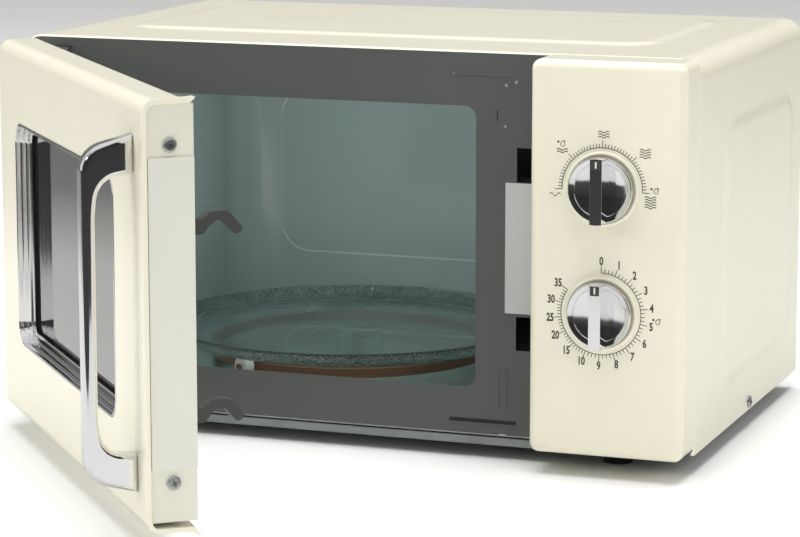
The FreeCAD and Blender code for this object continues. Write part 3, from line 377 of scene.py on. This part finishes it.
def turned(points, steps):
    """A body turned about Z from radius and height points."""
    shape = bmesh.new()
    path_edges(shape, points)
    bmesh.ops.spin(shape, geom=shape.verts[:] + shape.edges[:], cent=(0, 0, 0), axis=(0, 0, 1),
                   dvec=(0, 0, 0), angle=math.tau, steps=steps, use_merge=True)
    bmesh.ops.remove_doubles(shape, verts=shape.verts, dist=1e-6)
    return shape


def bar(low, high):
    """A box between two corners in millimetres."""
    shape = bmesh.new()
    bmesh.ops.create_cube(shape, size=1)
    size = (Vector(high) - Vector(low)) * MM
    middle = (Vector(high) + Vector(low)) * MM / 2
    bmesh.ops.scale(shape, vec=size, verts=shape.verts)
    bmesh.ops.translate(shape, vec=middle, verts=shape.verts)
    return shape


def soften(shape, radius, segments=3, angle=35):
    """Rounds every edge that turns by more than an angle."""
    sharp = [edge for edge in shape.edges
             if len(edge.link_faces) == 2 and edge.calc_face_angle(0.0) > math.radians(angle)]
    bmesh.ops.bevel(shape, geom=sharp, affect="EDGES", offset=radius * MM, segments=segments, profile=0.5,
                    material=-1, clamp_overlap=True)
    return shape


def moved(shape, matrix):
    """The shape after a transform."""
    bmesh.ops.transform(shape, matrix=matrix, verts=shape.verts)
    return shape


def joined(shapes):
    """One bmesh from several."""
    whole = bmesh.new()
    for shape in shapes:
        part = bpy.data.meshes.new("part")
        shape.to_mesh(part)
        shape.free()
        whole.from_mesh(part)
        bpy.data.meshes.remove(part)
    return whole


def draw_out(shape, way):
    """Draws flat faces out along a way in millimetres, and gives the points that moved."""
    grown = bmesh.ops.extrude_face_region(shape, geom=shape.faces[:])["geom"]
    lifted = [item for item in grown if isinstance(item, bmesh.types.BMVert)]
    bmesh.ops.translate(shape, vec=Vector(way) * MM, verts=lifted)
    return lifted


def largest_face(shape):
    """The face with the most area."""
    return max(shape.faces, key=lambda face: face.calc_area())


def keep_piece(shape, name, body, finish, stands_for=(), smooth=32):
    """Makes the finished shape a piece that rides on a body."""
    bmesh.ops.recalc_face_normals(shape, faces=shape.faces)
    limit = math.radians(smooth)
    for face in shape.faces:
        face.smooth = True
    for edge in shape.edges:
        edge.smooth = len(edge.link_faces) == 2 and edge.calc_face_angle(0.0) < limit
    mesh = bpy.data.meshes.new(name)
    shape.to_mesh(mesh)
    shape.free()
    mesh.materials.append(finish)
    piece = bpy.data.objects.new(name, mesh)
    bpy.context.scene.collection.objects.link(piece)
    piece.modifiers.new("even normals", "WEIGHTED_NORMAL").keep_sharp = True
    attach(piece, body)
    if stands_for:
        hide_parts(*stands_for)


def solids(node, reach):
    """The boxes of a node's separate solids, which are further apart than reach."""
    groups = []
    for vert in nodes[node].data.vertices:
        near = [group for group in groups if (group[0] - vert.co).length < reach]
        if near:
            near[0].append(vert.co.copy())
        else:
            groups.append([vert.co.copy()])
    boxes = []
    for group in groups:
        low = Vector(min(point[i] for point in group) for i in range(3))
        high = Vector(max(point[i] for point in group) for i in range(3))
        boxes.append((low, high))
    return boxes


# ---- Dials ----

KNOB_RADIUS, DISH_RADIUS, KNOB_HEIGHT, KNOB_FOOT, GRIP = 20.2, 16.2, 14.0, 1.0, 7.5
SCALE_RADIUS, TICK, LONG_TICK, LINE = 25.2, 2.4, 4.4, 0.46
POWER_TICKS, POWER_LEVELS = 44, 4
# The timer's scale has a number each minute up to ten, then one each five minutes.
TIMER_SWEEP, TIMER_NUMBERS, TIMER_MINUTES = 303, 15, 10
NUMBER_RADIUS, NUMBER_HEIGHT = 32.3, 4.9
WAVE_WIDTH, WAVE_PITCH, WAVE_LINE, WAVE_STEPS = 7.0, 1.55, 0.62, 14
INK_HEIGHT, INK_SINK = 0.06, 0.02


def dial_place(joint):
    """Where a dial is drawn: round its joint, with Y up and Z out of the panel."""
    return Matrix.Translation(joints[joint]["pos_m"]) @ Matrix.Rotation(math.radians(90), 4, "X")


def make_knob(name, joint):
    """A chrome dial: a dished face in a sloping rim, with a tapered grip bar across it."""
    place, knob = dial_place(joint), joints[joint]["child"]
    dish = turned([(0, 0.4), (19.6, 0.4), (KNOB_RADIUS, 1.0), (KNOB_RADIUS, 5.3, 0.4), (19.7, 5.9, 0.3),
                   (DISH_RADIUS + 0.4, 4.9), (DISH_RADIUS, 4.45, 0.15), (13.5, 3.96), (11, 3.6), (8.5, 3.33),
                   (6, 3.14), (3, 3.02), (0, 3.0)], 120)
    grip = bmesh.new()
    bmesh.ops.create_circle(grip, cap_ends=True, segments=96, radius=(KNOB_RADIUS - 0.1) * MM)
    draw_out(grip, (0, 0, KNOB_HEIGHT - KNOB_FOOT))
    bmesh.ops.translate(grip, vec=(0, 0, KNOB_FOOT * MM), verts=grip.verts)
    for side in (-1, 1):
        slope = Vector((side, 0, 0.12))
        cut = bmesh.ops.bisect_plane(grip, geom=grip.verts[:] + grip.edges[:] + grip.faces[:],
                                     plane_co=(side * GRIP / 2 * MM, 0, KNOB_HEIGHT * MM), plane_no=slope,
                                     clear_outer=True)
        open_edges = [item for item in cut["geom_cut"] if isinstance(item, bmesh.types.BMEdge)]
        bmesh.ops.holes_fill(grip, edges=open_edges)
    soften(grip, 0.55, angle=30)
    shape = moved(joined([dish, grip]), place)
    keep_piece(shape, name, knob, finishes["chrome_plate"], (knob,), smooth=24)
    seat = soften(bar((-2.9, 13.4, KNOB_HEIGHT - 0.3), (2.9, 19.2, KNOB_HEIGHT + 0.06)), 0.12, 2)
    keep_piece(moved(seat, place), name + "_pointer_seat", knob, finishes["ink"])
    mark = soften(bar((-0.55, 14.5, KNOB_HEIGHT - 0.3), (0.55, 18.4, KNOB_HEIGHT + 0.12)), 0.15, 2)
    keep_piece(moved(mark, place), name + "_pointer", knob, finishes["white_plastic"])


def make_collars():
    """The cream rings that the knobs turn in."""
    rings = []
    for joint in ("power_turn", "timer_turn"):
        ring = turned([(20.7, -0.3), (20.7, 0.5, 0.2), (21.3, 1.0, 0.3), (22.0, 0.9, 0.4), (23.1, 0.05),
                       (23.1, -0.3)], 120)
        rings.append(moved(ring, dial_place(joint)))
    keep_piece(joined(rings), "dial_collars", "cabinet", finishes["cream_plastic"],
               ("dial_rings",))


def stroke(start, end):
    """A flat printed line between two points, in millimetres."""
    first, last = Vector((*start, 0)) * MM, Vector((*end, 0)) * MM
    shape = bmesh.new()
    bmesh.ops.create_grid(shape, x_segments=1, y_segments=1, size=0.5)
    bmesh.ops.scale(shape, vec=((last - first).length, LINE * MM, 1), verts=shape.verts)
    angle = math.atan2(last.y - first.y, last.x - first.x)
    bmesh.ops.rotate(shape, matrix=Matrix.Rotation(angle, 3, "Z"), verts=shape.verts)
    bmesh.ops.translate(shape, vec=(first + last) / 2, verts=shape.verts)
    return shape


def around(radius, angle):
    """A point on a dial, clockwise from the top, in degrees."""
    return radius * math.sin(math.radians(angle)), radius * math.cos(math.radians(angle))


def arc(radius, width, first, last):
    """A flat ribbon on a dial between two angles."""
    shape = bmesh.new()
    ends = [shape.verts.new(Vector((*around(radius + side * width / 2, first), 0)) * MM) for side in (-1, 1)]
    edge = shape.edges.new(ends)
    bmesh.ops.spin(shape, geom=[*ends, edge], cent=(0, 0, 0), axis=(0, 0, 1), dvec=(0, 0, 0),
                   angle=math.radians(first - last), steps=int(abs(last - first) / 3) + 2)
    return shape


def ripple(height):
    """A wavy line, drawn by sliding a short edge along."""
    shape = bmesh.new()
    ends = [shape.verts.new((-WAVE_WIDTH / 2 * MM, side * WAVE_LINE / 2 * MM, 0)) for side in (-1, 1)]
    edges = [shape.edges.new(ends)]
    turn = 1.5 * math.tau / WAVE_STEPS
    for i in range(WAVE_STEPS):
        rise = math.sin(turn * (i + 1)) - math.sin(turn * i)
        grown = bmesh.ops.extrude_edge_only(shape, edges=edges)["geom"]
        tips = [item for item in grown if isinstance(item, bmesh.types.BMVert)]
        edges = [item for item in grown if isinstance(item, bmesh.types.BMEdge)]
        bmesh.ops.translate(shape, vec=(WAVE_WIDTH / WAVE_STEPS * MM, rise * height / 2 * MM, 0), verts=tips)
    return shape


def number(text, at):
    """A condensed number as flat faces, centred on a point."""
    curve = bpy.data.curves.new("number", "FONT")
    curve.body = text
    curve.align_x, curve.align_y = "CENTER", "CENTER"
    curve.offset = 0.035
    curve.resolution_u = 3
    item = bpy.data.objects.new("number", curve)
    bpy.context.scene.collection.objects.link(item)
    mesh = bpy.data.meshes.new_from_object(item)
    shape = bmesh.new()
    shape.from_mesh(mesh)
    bpy.data.objects.remove(item)
    bpy.data.meshes.remove(mesh)
    bmesh.ops.scale(shape, vec=(NUMBER_HEIGHT * 0.98 * MM, NUMBER_HEIGHT * 1.4 * MM, 1), verts=shape.verts)
    bmesh.ops.translate(shape, vec=(at[0] * MM, at[1] * MM, 0), verts=shape.verts)
    return shape


def droplet(at):
    """A dot beside a tilted drop outline."""
    dot = bmesh.new()
    bmesh.ops.create_circle(dot, cap_ends=True, segments=10, radius=0.75 * MM)
    bmesh.ops.translate(dot, vec=(-1.9 * MM, 1.1 * MM, 0), verts=dot.verts)
    drop = arc(1.35, 0.42, 0, 359.9)
    tip = [vert for vert in drop.verts if vert.co.y > 1.0 * MM]
    bmesh.ops.translate(drop, vec=(0.7 * MM, 0.8 * MM, 0), verts=tip)
    bmesh.ops.translate(drop, vec=(0.9 * MM, -0.3 * MM, 0), verts=drop.verts)
    return [moved(part, Matrix.Translation((at[0] * MM, at[1] * MM, 0))) for part in (dot, drop)]


def waves(count, at, height=1.0):
    """A stack of wavy lines, centred on a point."""
    lines = []
    for i in range(count):
        rise = at[1] + (i - (count - 1) / 2) * WAVE_PITCH
        lines.append(moved(ripple(height), Matrix.Translation((at[0] * MM, rise * MM, 0))))
    return lines


def print_dial(shapes, name, joint):
    """Ink on the panel round a knob."""
    ink = joined(shapes)
    draw_out(ink, (0, 0, INK_HEIGHT))
    bmesh.ops.translate(ink, vec=(0, 0, -INK_SINK * MM), verts=ink.verts)
    keep_piece(moved(ink, dial_place(joint)), name, "cabinet", finishes["ink"])


def print_scales():
    """The power scale with its wave and drop marks, and the timer's scale with its numbers."""
    end = joints["power_turn"]["range_deg"][1]
    marks = [arc(SCALE_RADIUS, LINE, -end, end)]
    for i in range(POWER_TICKS + 1):
        angle = -end + i * 2 * end / POWER_TICKS
        length = TICK if i % (POWER_TICKS // POWER_LEVELS) else LONG_TICK
        marks.append(stroke(around(SCALE_RADIUS, angle), around(SCALE_RADIUS + length, angle)))
    for count, at in ((2, (-25.2, 22.4)), (3, (0.7, 33.2)), (4, (26.6, 22.7)), (5, (30.2, -6.6))):
        marks += waves(count, at)
    marks += waves(1, (-29.5, -4.5), 2.0)
    marks += droplet((-25.9, 26.6)) + droplet((32.6, 0.6))
    print_dial(marks, "power_scale", "power_turn")
    step = TIMER_SWEEP / TIMER_NUMBERS
    marks = [arc(SCALE_RADIUS, LINE, 0, TIMER_SWEEP)]
    for i in range(TIMER_NUMBERS + 1):
        start = i * step
        marks.append(stroke(around(SCALE_RADIUS, start), around(SCALE_RADIUS + LONG_TICK, start)))
        parts = 4 if i < TIMER_MINUTES else 5
        for j in range(1, parts if i < TIMER_NUMBERS else 0):
            angle = start + j * step / parts
            marks.append(stroke(around(SCALE_RADIUS, angle), around(SCALE_RADIUS + TICK, angle)))
        minutes = i + 4 * max(i - TIMER_MINUTES, 0)
        marks.append(number(str(minutes), around(NUMBER_RADIUS, start)))
    marks += droplet((34.9, -2.6))
    print_dial(marks, "timer_scale", "timer_turn")


# ---- Door ----

def rounded_face(low, high, radius, segments):
    """A flat face in X and Z with round corners, looking towards minus Y."""
    shape = bmesh.new()
    bmesh.ops.create_grid(shape, x_segments=1, y_segments=1, size=0.5)
    bmesh.ops.rotate(shape, matrix=Matrix.Rotation(math.radians(90), 3, "X"), verts=shape.verts)
    bmesh.ops.scale(shape, vec=((high[0] - low[0]) * MM, 1, (high[1] - low[1]) * MM), verts=shape.verts)
    bmesh.ops.translate(shape, vec=((high[0] + low[0]) / 2 * MM, 0, (high[1] + low[1]) / 2 * MM),
                        verts=shape.verts)
    bmesh.ops.bevel(shape, geom=shape.verts[:], affect="VERTICES", offset=radius * MM, segments=segments,
                    profile=0.5, material=-1)
    return shape


DOOR_FRONT = 30.3
WINDOW_LOW, WINDOW_HIGH, WINDOW_ROUND = (46.2, 64.7), (291.8, 206.8), 13.8


def make_bezel():
    """The window's chrome surround: a thin lip and two fluted steps down to the glass."""
    shape = rounded_face(WINDOW_LOW, WINDOW_HIGH, WINDOW_ROUND, 12)
    bmesh.ops.translate(shape, vec=(0, -DOOR_FRONT * MM, 0), verts=shape.verts)
    profile = [(0.4, 0.4), (0.6, 0.1), (0.4, -0.5)]
    for drop in (2.6, 2.4):
        profile += [(0.1, -drop), (0.4, -0.6), (0.7, 0.2), (0.5, 0.4), (0.4, -0.5)]
    profile += [(0.1, -2.2), (0.6, -0.4), (0.8, 0.0)]
    for inset, depth in profile:
        bmesh.ops.inset_region(shape, faces=[largest_face(shape)], thickness=inset * MM, depth=depth * MM,
                               use_boundary=True, use_even_offset=True)
    bmesh.ops.delete(shape, geom=[largest_face(shape)], context="FACES")
    bmesh.ops.solidify(shape, geom=shape.faces[:], thickness=0.35 * MM)
    keep_piece(moved(shape, door_place), "bezel_fluted", "door", finishes["chrome_plate"],
               ("window_bezel",), smooth=50)


def across_door(start):
    """Stands a shape on the door: it is drawn with X as the distance out and Y across from a start."""
    return door_place @ Matrix(((0, 1, 0, start * MM), (-1, 0, 0, 0), (0, 0, 1, 0), (0, 0, 0, 1)))


HANDLE_START, HANDLE_WIDTH, HANDLE_MIDDLE = 327, 12, 134.35


def make_handle():
    """A flat bar bent towards the door at both ends, with rounded edges."""
    upper = [(30.2, 100.85), (60.4, 92.65, 12)]
    inner = [(52.4, 58.35, 6), (50.6, 70.15, 4), (44.5, 76.75, 4), (30.2, 78.85)]
    lower = [(out, -height, *rounding) for out, height, *rounding in reversed(inner + upper)]
    points = [(out, HANDLE_MIDDLE + height, *rounding) for out, height, *rounding in upper + lower + inner]
    shape = bmesh.new()
    path_edges(shape, points, closed=True)
    bmesh.ops.contextual_create(shape, geom=shape.edges[:])
    draw_out(shape, (0, HANDLE_WIDTH, 0))
    rims = [edge for edge in shape.edges if abs(edge.calc_face_angle(0.0) - math.pi / 2) < 0.05
            and abs(edge.verts[0].co.y - edge.verts[1].co.y) < 1e-6]
    bmesh.ops.bevel(shape, geom=rims, affect="EDGES", offset=3.3 * MM, segments=6, profile=0.5, material=-1)
    keep_piece(moved(shape, across_door(HANDLE_START)), "handle_bent", "door", finishes["chrome_plate"],
               ("door_handle",), smooth=40)


def screw_head(radius):
    """A pan head with a cross recess, standing on Z = 0."""
    top = radius * 0.42
    head = turned([(0, -0.6), (radius * 0.9, -0.6), (radius, 0, 0.2), (radius * 0.95, radius * 0.2, 0.3),
                   (radius * 0.8, radius * 0.38, 0.4), (radius * 0.7, top)], 36)
    arms = bmesh.new()
    bmesh.ops.create_grid(arms, x_segments=3, y_segments=3, size=radius * 0.62 * MM)
    for vert in arms.verts:
        for axis in (0, 1):
            if abs(vert.co[axis]) < radius * 0.3 * MM:
                vert.co[axis] *= 0.55
    corners = [face for face in arms.faces if min(abs(face.calc_center_median().x),
                                                  abs(face.calc_center_median().y)) > radius * 0.1 * MM]
    bmesh.ops.delete(arms, geom=corners, context="FACES")
    bmesh.ops.translate(arms, vec=(0, 0, top * MM), verts=arms.verts)
    outline = [edge for edge in arms.edges if len(edge.link_faces) == 1]
    bmesh.ops.subdivide_edges(arms, edges=outline, cuts=2, use_grid_fill=False)
    floor = draw_out(arms, (0, 0, -radius * 0.36))
    bmesh.ops.scale(arms, vec=(0.8, 0.8, 1), verts=floor)
    lids = [face for face in arms.faces if all(abs(vert.co.z - top * MM) < 1e-7 for vert in face.verts)]
    bmesh.ops.delete(arms, geom=lids, context="FACES_ONLY")
    whole = joined([head, arms])
    loops = [edge for edge in whole.edges if len(edge.link_faces) == 1]
    bmesh.ops.bridge_loops(whole, edges=loops)
    return whole


# Points further apart than the reach belong to separate screws. Each head stops at its own angle.
SCREW_RADIUS, SCREW_REACH, FIRST_ANGLE, NEXT_ANGLE = 4.2, 12, 20, 55


def make_screws():
    """Cross-recess heads where the door, its frame and the casing are screwed together."""
    for node, body, name in (("door_screws", "door", "door_screw_heads"),
                             ("casing_screws", "cabinet", "casing_screw_heads")):
        heads = []
        for low, high in solids(node, SCREW_REACH * MM):
            middle = (low + high) / 2
            out = screw_direction(node, low, high)
            foot = middle - out * abs((high - low) @ out) / 2
            turn = out.to_track_quat("Z", "Y").to_matrix().to_4x4()
            spin = Matrix.Rotation(math.radians(FIRST_ANGLE + NEXT_ANGLE * len(heads)), 4, "Z")
            heads.append(moved(screw_head(SCREW_RADIUS), Matrix.Translation(foot) @ turn @ spin))
        keep_piece(joined(heads), name, body, finishes["zinc_sheet"], (node,))


def screw_direction(node, low, high):
    """Which way a screw faces: out of the door's end, a side or the rear."""
    if node == "door_screws":
        return door_place.to_3x3() @ Vector((1, 0, 0))
    size = high - low
    if size.x < size.y:
        return Vector((math.copysign(1, low.x), 0, 0))
    return Vector((0, 1, 0))


# ---- Turntable ----

def make_tray():
    """The glass plate: a flat middle, a step up to a wide stippled rim, and three lugs below."""
    plate = turned([(0, 44.8), (110.5, 44.8, 2), (121.5, 48.4, 2), (126.4, 53.4, 1), (127.4, 55.6, 0.5),
                    (126.6, 56.5, 0.5), (123.2, 56.3, 0.8), (117.6, 51.6, 1.5), (112, 48.8, 1.5),
                    (0, 48.8)], 160)
    centre = Matrix.Translation((tray_middle.x, tray_middle.y, 0))
    lugs = []
    for i in range(3):
        lug = soften(bar((19, -6, 43.0), (23, 6, 44.9)), 0.7)
        lugs.append(moved(lug, centre @ Matrix.Rotation(math.radians(90 + 120 * i), 4, "Z")))
    keep_piece(moved(plate, centre), "tray_plate", "tray", finishes["clear_glass"],
               ("glass_tray",), smooth=40)
    keep_piece(joined(lugs), "tray_lugs", "tray", finishes["clear_glass"])


# ---- Cabinet ----

EMBOSS, SHOULDER, FRONT_ROUND, SHEET = 1.2, 14.0, 2.0, 0.8
# The raised fields: their soft edges and round corners, and where they begin and end. Front and rear
# are distances from the casing's front, left and right from its sides, and low and high are heights.
FIELD_EDGE, FIELD_ROUND, FIELD_FRONT = 8.0, 26.0, 62
TOP_LEFT, TOP_RIGHT, TOP_REAR = 42, 47, 246
SIDE_LOW, SIDE_HIGH, SIDE_REAR = 40, 212, 250
casing_middle = (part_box("casing")[0].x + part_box("casing")[1].x) / 2


def raised(across, along, low, high):
    """The height of a raised field with round corners and soft sides at a point of a face."""
    away = []
    for value, first, last in ((across, low[0], high[0]), (along, low[1], high[1])):
        away.append(max(abs(value - (first + last) / 2) - (last - first) / 2 + FIELD_ROUND, -FIELD_ROUND))
    outside = math.hypot(max(away[0], 0), max(away[1], 0)) + min(max(away), 0) - FIELD_ROUND
    rise = min(max(-outside / FIELD_EDGE, 0), 1)
    return EMBOSS * rise * rise * (3 - 2 * rise)


def make_casing():
    """One sheet wrapped over the top and sides, with a soft raised field on each face."""
    low, high = (corner * 1000 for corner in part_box("casing"))
    left, right, top, bottom = low.x + EMBOSS, high.x - EMBOSS, high.z - EMBOSS, low.z
    side, bend = top - SHOULDER - bottom, SHOULDER * math.pi / 2
    width = right - left - 2 * SHOULDER
    total = 2 * side + 2 * bend + width
    columns, rows, front_rows = 330, 100, 8

    def wrap(along):
        """The point and the outward direction at a distance along the sheet's outline."""
        if along < side:
            return Vector((left, 0, bottom + along)), Vector((-1, 0, 0))
        if along < side + bend:
            turn = (along - side) / SHOULDER
            out = Vector((-math.cos(turn), 0, math.sin(turn)))
            return Vector((left + SHOULDER, 0, top - SHOULDER)) + out * SHOULDER, out
        if along < side + bend + width:
            return Vector((left + SHOULDER + along - side - bend, 0, top)), Vector((0, 0, 1))
        mirror, out = wrap(total - along)
        return Vector((left + right - mirror.x, 0, mirror.z)), Vector((-out.x, 0, out.z))

    shape = bmesh.new()
    bmesh.ops.create_grid(shape, x_segments=columns, y_segments=rows, size=0.5)
    for vert in shape.verts:
        point, out = wrap((vert.co.x + 0.5) * total)
        row = round((vert.co.y + 0.5) * rows)
        if row < front_rows:
            turn = math.pi / 2 * row / front_rows
            depth = FRONT_ROUND * (1 - math.cos(turn))
            lift = -FRONT_ROUND * (1 - math.sin(turn))
        else:
            share = (row - front_rows) / (rows - front_rows)
            depth = FRONT_ROUND + share * (high.y - low.y - FRONT_ROUND)
            lift = 0
        depth += low.y
        if out.z > 0.99:
            lift += raised(point.x, depth, (left + TOP_LEFT, low.y + FIELD_FRONT),
                           (right - TOP_RIGHT, low.y + TOP_REAR))
        elif abs(out.x) > 0.99:
            lift += raised(depth, point.z, (low.y + FIELD_FRONT, SIDE_LOW), (low.y + SIDE_REAR, SIDE_HIGH))
        spot = point + out * lift
        vert.co = Vector((spot.x, depth, spot.z)) * MM
    bmesh.ops.recalc_face_normals(shape, faces=shape.faces)
    bmesh.ops.solidify(shape, geom=shape.faces[:], thickness=SHEET * MM)
    keep_piece(shape, "casing_sheet", "cabinet", finishes["cream_enamel"], ("casing",),
               smooth=50)


def make_plate_marks():
    """Pressed ribs, painted shade in the grooves, weld dots and the worn lower edge of the front plate."""
    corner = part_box("front_plate")[0] * 1000
    place = Matrix.Translation((casing_middle, corner.y * MM, 0))
    ribs = []
    for low, high in (((70, 241.8), (109, 243.2)), ((100, 32), (101.2, 58)), ((105.4, 32), (106.6, 57)),
                      ((101, 57), (106.4, 58.2)), ((66, 21.2), (114, 22.6))):
        ribs.append(soften(bar((low[0], -0.5, low[1]), (high[0], 0.3, high[1])), 0.4))
    keep_piece(moved(joined(ribs), place), "plate_ribs", "cabinet", finishes["dark_grey_paint"])
    # The grooves are not cut: thin bars in the black rubber finish stand on the plate as painted shade.
    groove_shades = []
    for low, high in (((68, 22.8), (112, 25.2)), ((98.4, 214), (99.2, 221))):
        groove_shades.append(soften(bar((low[0], -0.15, low[1]), (high[0], 0.3, high[1])), 0.12, 2))
    keep_piece(moved(joined(groove_shades), place), "plate_groove_painted_shade", "cabinet", finishes["foot_rubber"])
    dots = []
    turn = Matrix.Rotation(math.radians(90), 4, "X")
    for x, z, radius in ((70.5, 242.5, 0.9), (104.5, 236.5, 1.1), (111, 238.5, 1.1), (104, 211, 1.0)):
        dot = turned([(0, -0.1), (radius, -0.1), (radius, 0.1, 0.1), (radius * 0.6, 0.35, 0.2), (0, 0.45)],
                     16)
        dots.append(moved(dot, Matrix.Translation((x * MM, 0, z * MM)) @ turn))
    dots.append(soften(bar((-222, -0.12, corner.z + 0.1), (126, 0.4, corner.z + 0.75)), 0.1, 2))
    dots.append(soften(bar((100.5, -0.3, corner.z + 0.1), (105.5, 0.4, corner.z + 1.6)), 0.3))
    keep_piece(moved(joined(dots), place), "plate_welds", "cabinet", finishes["zinc_sheet"])


LIP_START, LIP_WIDTH = 349, 7.3


def make_door_lip():
    """The door sheet's free end: a rounded lip round the inner frame, with flared flanges."""
    points = [(0.3, 256.3, 0.2), (3.2, 255.9, 2), (30.7, 255.8, 8), (30.7, 13.8, 8), (5, 13.6, 2),
              (0.4, 10.9, 0.3), (-0.6, 11.6, 0.3), (2.8, 16.2, 1.5), (25.4, 16.6, 1.2), (27.9, 20.2, 2.5),
              (27.9, 252.7, 4), (3.4, 252.9, 1), (0.2, 256.0, 0.2)]
    shape = bmesh.new()
    path_edges(shape, points, closed=True)
    bmesh.ops.contextual_create(shape, geom=shape.edges[:])
    draw_out(shape, (0, LIP_WIDTH, 0))
    rims = [edge for edge in shape.edges if abs(edge.calc_face_angle(0.0) - math.pi / 2) < 0.05
            and min(edge.verts[0].co.y, edge.verts[1].co.y) > LIP_WIDTH / 2 * MM]
    bmesh.ops.bevel(shape, geom=rims, affect="EDGES", offset=0.7 * MM, segments=3, profile=0.5, material=-1,
                    clamp_overlap=True)
    keep_piece(moved(shape, across_door(LIP_START)), "door_end_lip", "door", finishes["cream_plastic"],
               smooth=45)


CREASE_LOW, CREASE_HIGH, CREASE_ROUND = (-156, 76), (57, 196), 22.0
CREASE_WIDTH, CREASE_HEIGHT, CREASE_BACK = 1.4, 0.35, 0.95


def make_cavity_crease():
    """The pressed edge round the flat middle of the cavity's back wall, in lighter paint: a painted highlight."""
    shape = rounded_face(CREASE_LOW, CREASE_HIGH, CREASE_ROUND, 10)
    for depth in (CREASE_HEIGHT, -CREASE_HEIGHT):
        bmesh.ops.inset_region(shape, faces=[largest_face(shape)], thickness=CREASE_WIDTH / 2 * MM,
                               depth=depth * MM, use_boundary=True, use_even_offset=True)
    bmesh.ops.delete(shape, geom=[largest_face(shape)], context="FACES")
    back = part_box("cavity_liner")[1].y - CREASE_BACK * MM
    keep_piece(moved(shape, Matrix.Translation((casing_middle, back, 0))), "cavity_back_crease_painted_highlight", "cabinet",
               finishes["cavity_crease_painted_highlight"], smooth=60)


make_casing()
make_cavity_crease()
make_plate_marks()
make_door_lip()
make_knob("power_knob_dial", "power_turn")
make_knob("timer_knob_dial", "timer_turn")
make_collars()
print_scales()
make_bezel()
make_handle()
make_screws()
make_tray()


# ---- Stage ----

ROOM_DARK = (0.03, 0.03, 0.03, 1)
TABLE_FRONT, TABLE_SIDE, TABLE_END = -0.7, -0.75, -1.1


def make_stage():
    """A pale floor. In reflections it ends a little way in front of the oven, as a table top does."""
    ground = bmesh.new()
    bmesh.ops.create_grid(ground, x_segments=1, y_segments=1, size=6)
    mesh = bpy.data.meshes.new("floor")
    ground.to_mesh(mesh)
    ground.free()
    floor = bpy.data.objects.new("floor", mesh)
    bpy.context.scene.collection.objects.link(floor)
    finish, tree, sockets, place = new_finish("floor paper", Roughness=0.9, Specular_IOR_Level=0.1)
    split = tree.nodes.new("ShaderNodeSeparateXYZ")
    feed(tree, split.inputs[0], place)
    ahead = ramp(tree, split.outputs["Y"], TABLE_FRONT - 0.01, TABLE_FRONT + 0.01, 1.0, 0.0)
    aside = ramp(tree, split.outputs["X"], TABLE_END, TABLE_SIDE, 0.6, 0.0)
    beyond = maths(tree, "MAXIMUM", ahead, aside)
    path = tree.nodes.new("ShaderNodeLightPath")
    pale = mix(tree, noise(tree, place, 4.0), (0.93, 0.93, 0.92, 1), (0.96, 0.96, 0.95, 1))
    table = mix(tree, beyond, (0.55, 0.55, 0.54, 1), ROOM_DARK)
    feed(tree, sockets["Base Color"], mix(tree, path.outputs["Is Glossy Ray"], pale, table))
    mesh.materials.append(finish)


def softbox(name, at, aim, size, power, mirrored=False):
    """A rectangular light that faces the aim point."""
    lamp = bpy.data.lights.new(name, "AREA")
    lamp.shape = "RECTANGLE"
    lamp.size, lamp.size_y = size
    lamp.energy = power
    item = bpy.data.objects.new(name, lamp)
    item.location = at
    item.rotation_euler = (Vector(aim) - Vector(at)).to_track_quat("-Z", "Y").to_euler()
    item.visible_camera = False
    item.visible_glossy = mirrored
    bpy.context.scene.collection.objects.link(item)


def make_world():
    """Pale surroundings; in reflections the room in front of the oven is dark."""
    world = bpy.data.worlds.new("studio")
    world.use_nodes = True
    tree = world.node_tree
    split = tree.nodes.new("ShaderNodeSeparateXYZ")
    feed(tree, split.inputs[0], tree.nodes.new("ShaderNodeTexCoord").outputs["Generated"])
    high = ramp(tree, split.outputs["Z"], 0.5, 0.85)
    behind = ramp(tree, split.outputs["Y"], 0.2, 0.45)
    aside = ramp(tree, split.outputs["X"], -0.75, -0.55, 1.0, 0.0)
    ahead = mix(tree, aside, ROOM_DARK, (0.75, 0.75, 0.74, 1))
    dim = mix(tree, behind, ahead, (0.2, 0.2, 0.195, 1))
    mirrored = mix(tree, high, dim, (0.8, 0.8, 0.8, 1))
    path = tree.nodes.new("ShaderNodeLightPath")
    lit = mix(tree, path.outputs["Is Glossy Ray"], (0.42, 0.42, 0.42, 1), mirrored)
    seen = mix(tree, path.outputs["Is Camera Ray"], lit, (1.0, 1.0, 1.0, 1))
    feed(tree, tree.nodes["Background"].inputs["Color"], seen)
    bpy.context.scene.world = world


def make_camera():
    """A long lens in front of the oven, to its right and a little above it."""
    lens = bpy.data.cameras.new("camera")
    lens.lens = 139.55
    lens.sensor_width = 36.0
    lens.clip_end = 50.0
    camera = bpy.data.objects.new("camera", lens)
    camera.location = (0.6989, -1.7962, 0.4557)
    camera.rotation_euler = (math.radians(80.03), 0, math.radians(20.14))
    bpy.context.scene.collection.objects.link(camera)
    bpy.context.scene.camera = camera


make_stage()
make_world()
make_camera()
softbox("overhead_box", at=(0.1, 0.1, 2.3), aim=(0.0, 0.1, 0.1), size=(2.0, 1.6), power=64)
softbox("left_box", at=(-2.4, -1.2, 1.2), aim=(0.0, 0.0, 0.12), size=(1.0, 1.2), power=29)
softbox("right_box", at=(2.1, -0.9, 1.3), aim=(0.0, 0.0, 0.1), size=(0.9, 1.2), power=8)
softbox("high_window", at=(-0.95, -2.4, 1.66), aim=(0.0, 0.2, 0.1), size=(0.5, 0.35), power=3.5,
        mirrored=True)
softbox("cavity_glow", at=(-0.05, 0.03, 0.215), aim=(-0.05, 0.2, 0.1), size=(0.2, 0.03), power=0.21)
bpy.context.scene.view_settings.view_transform = "Standard"
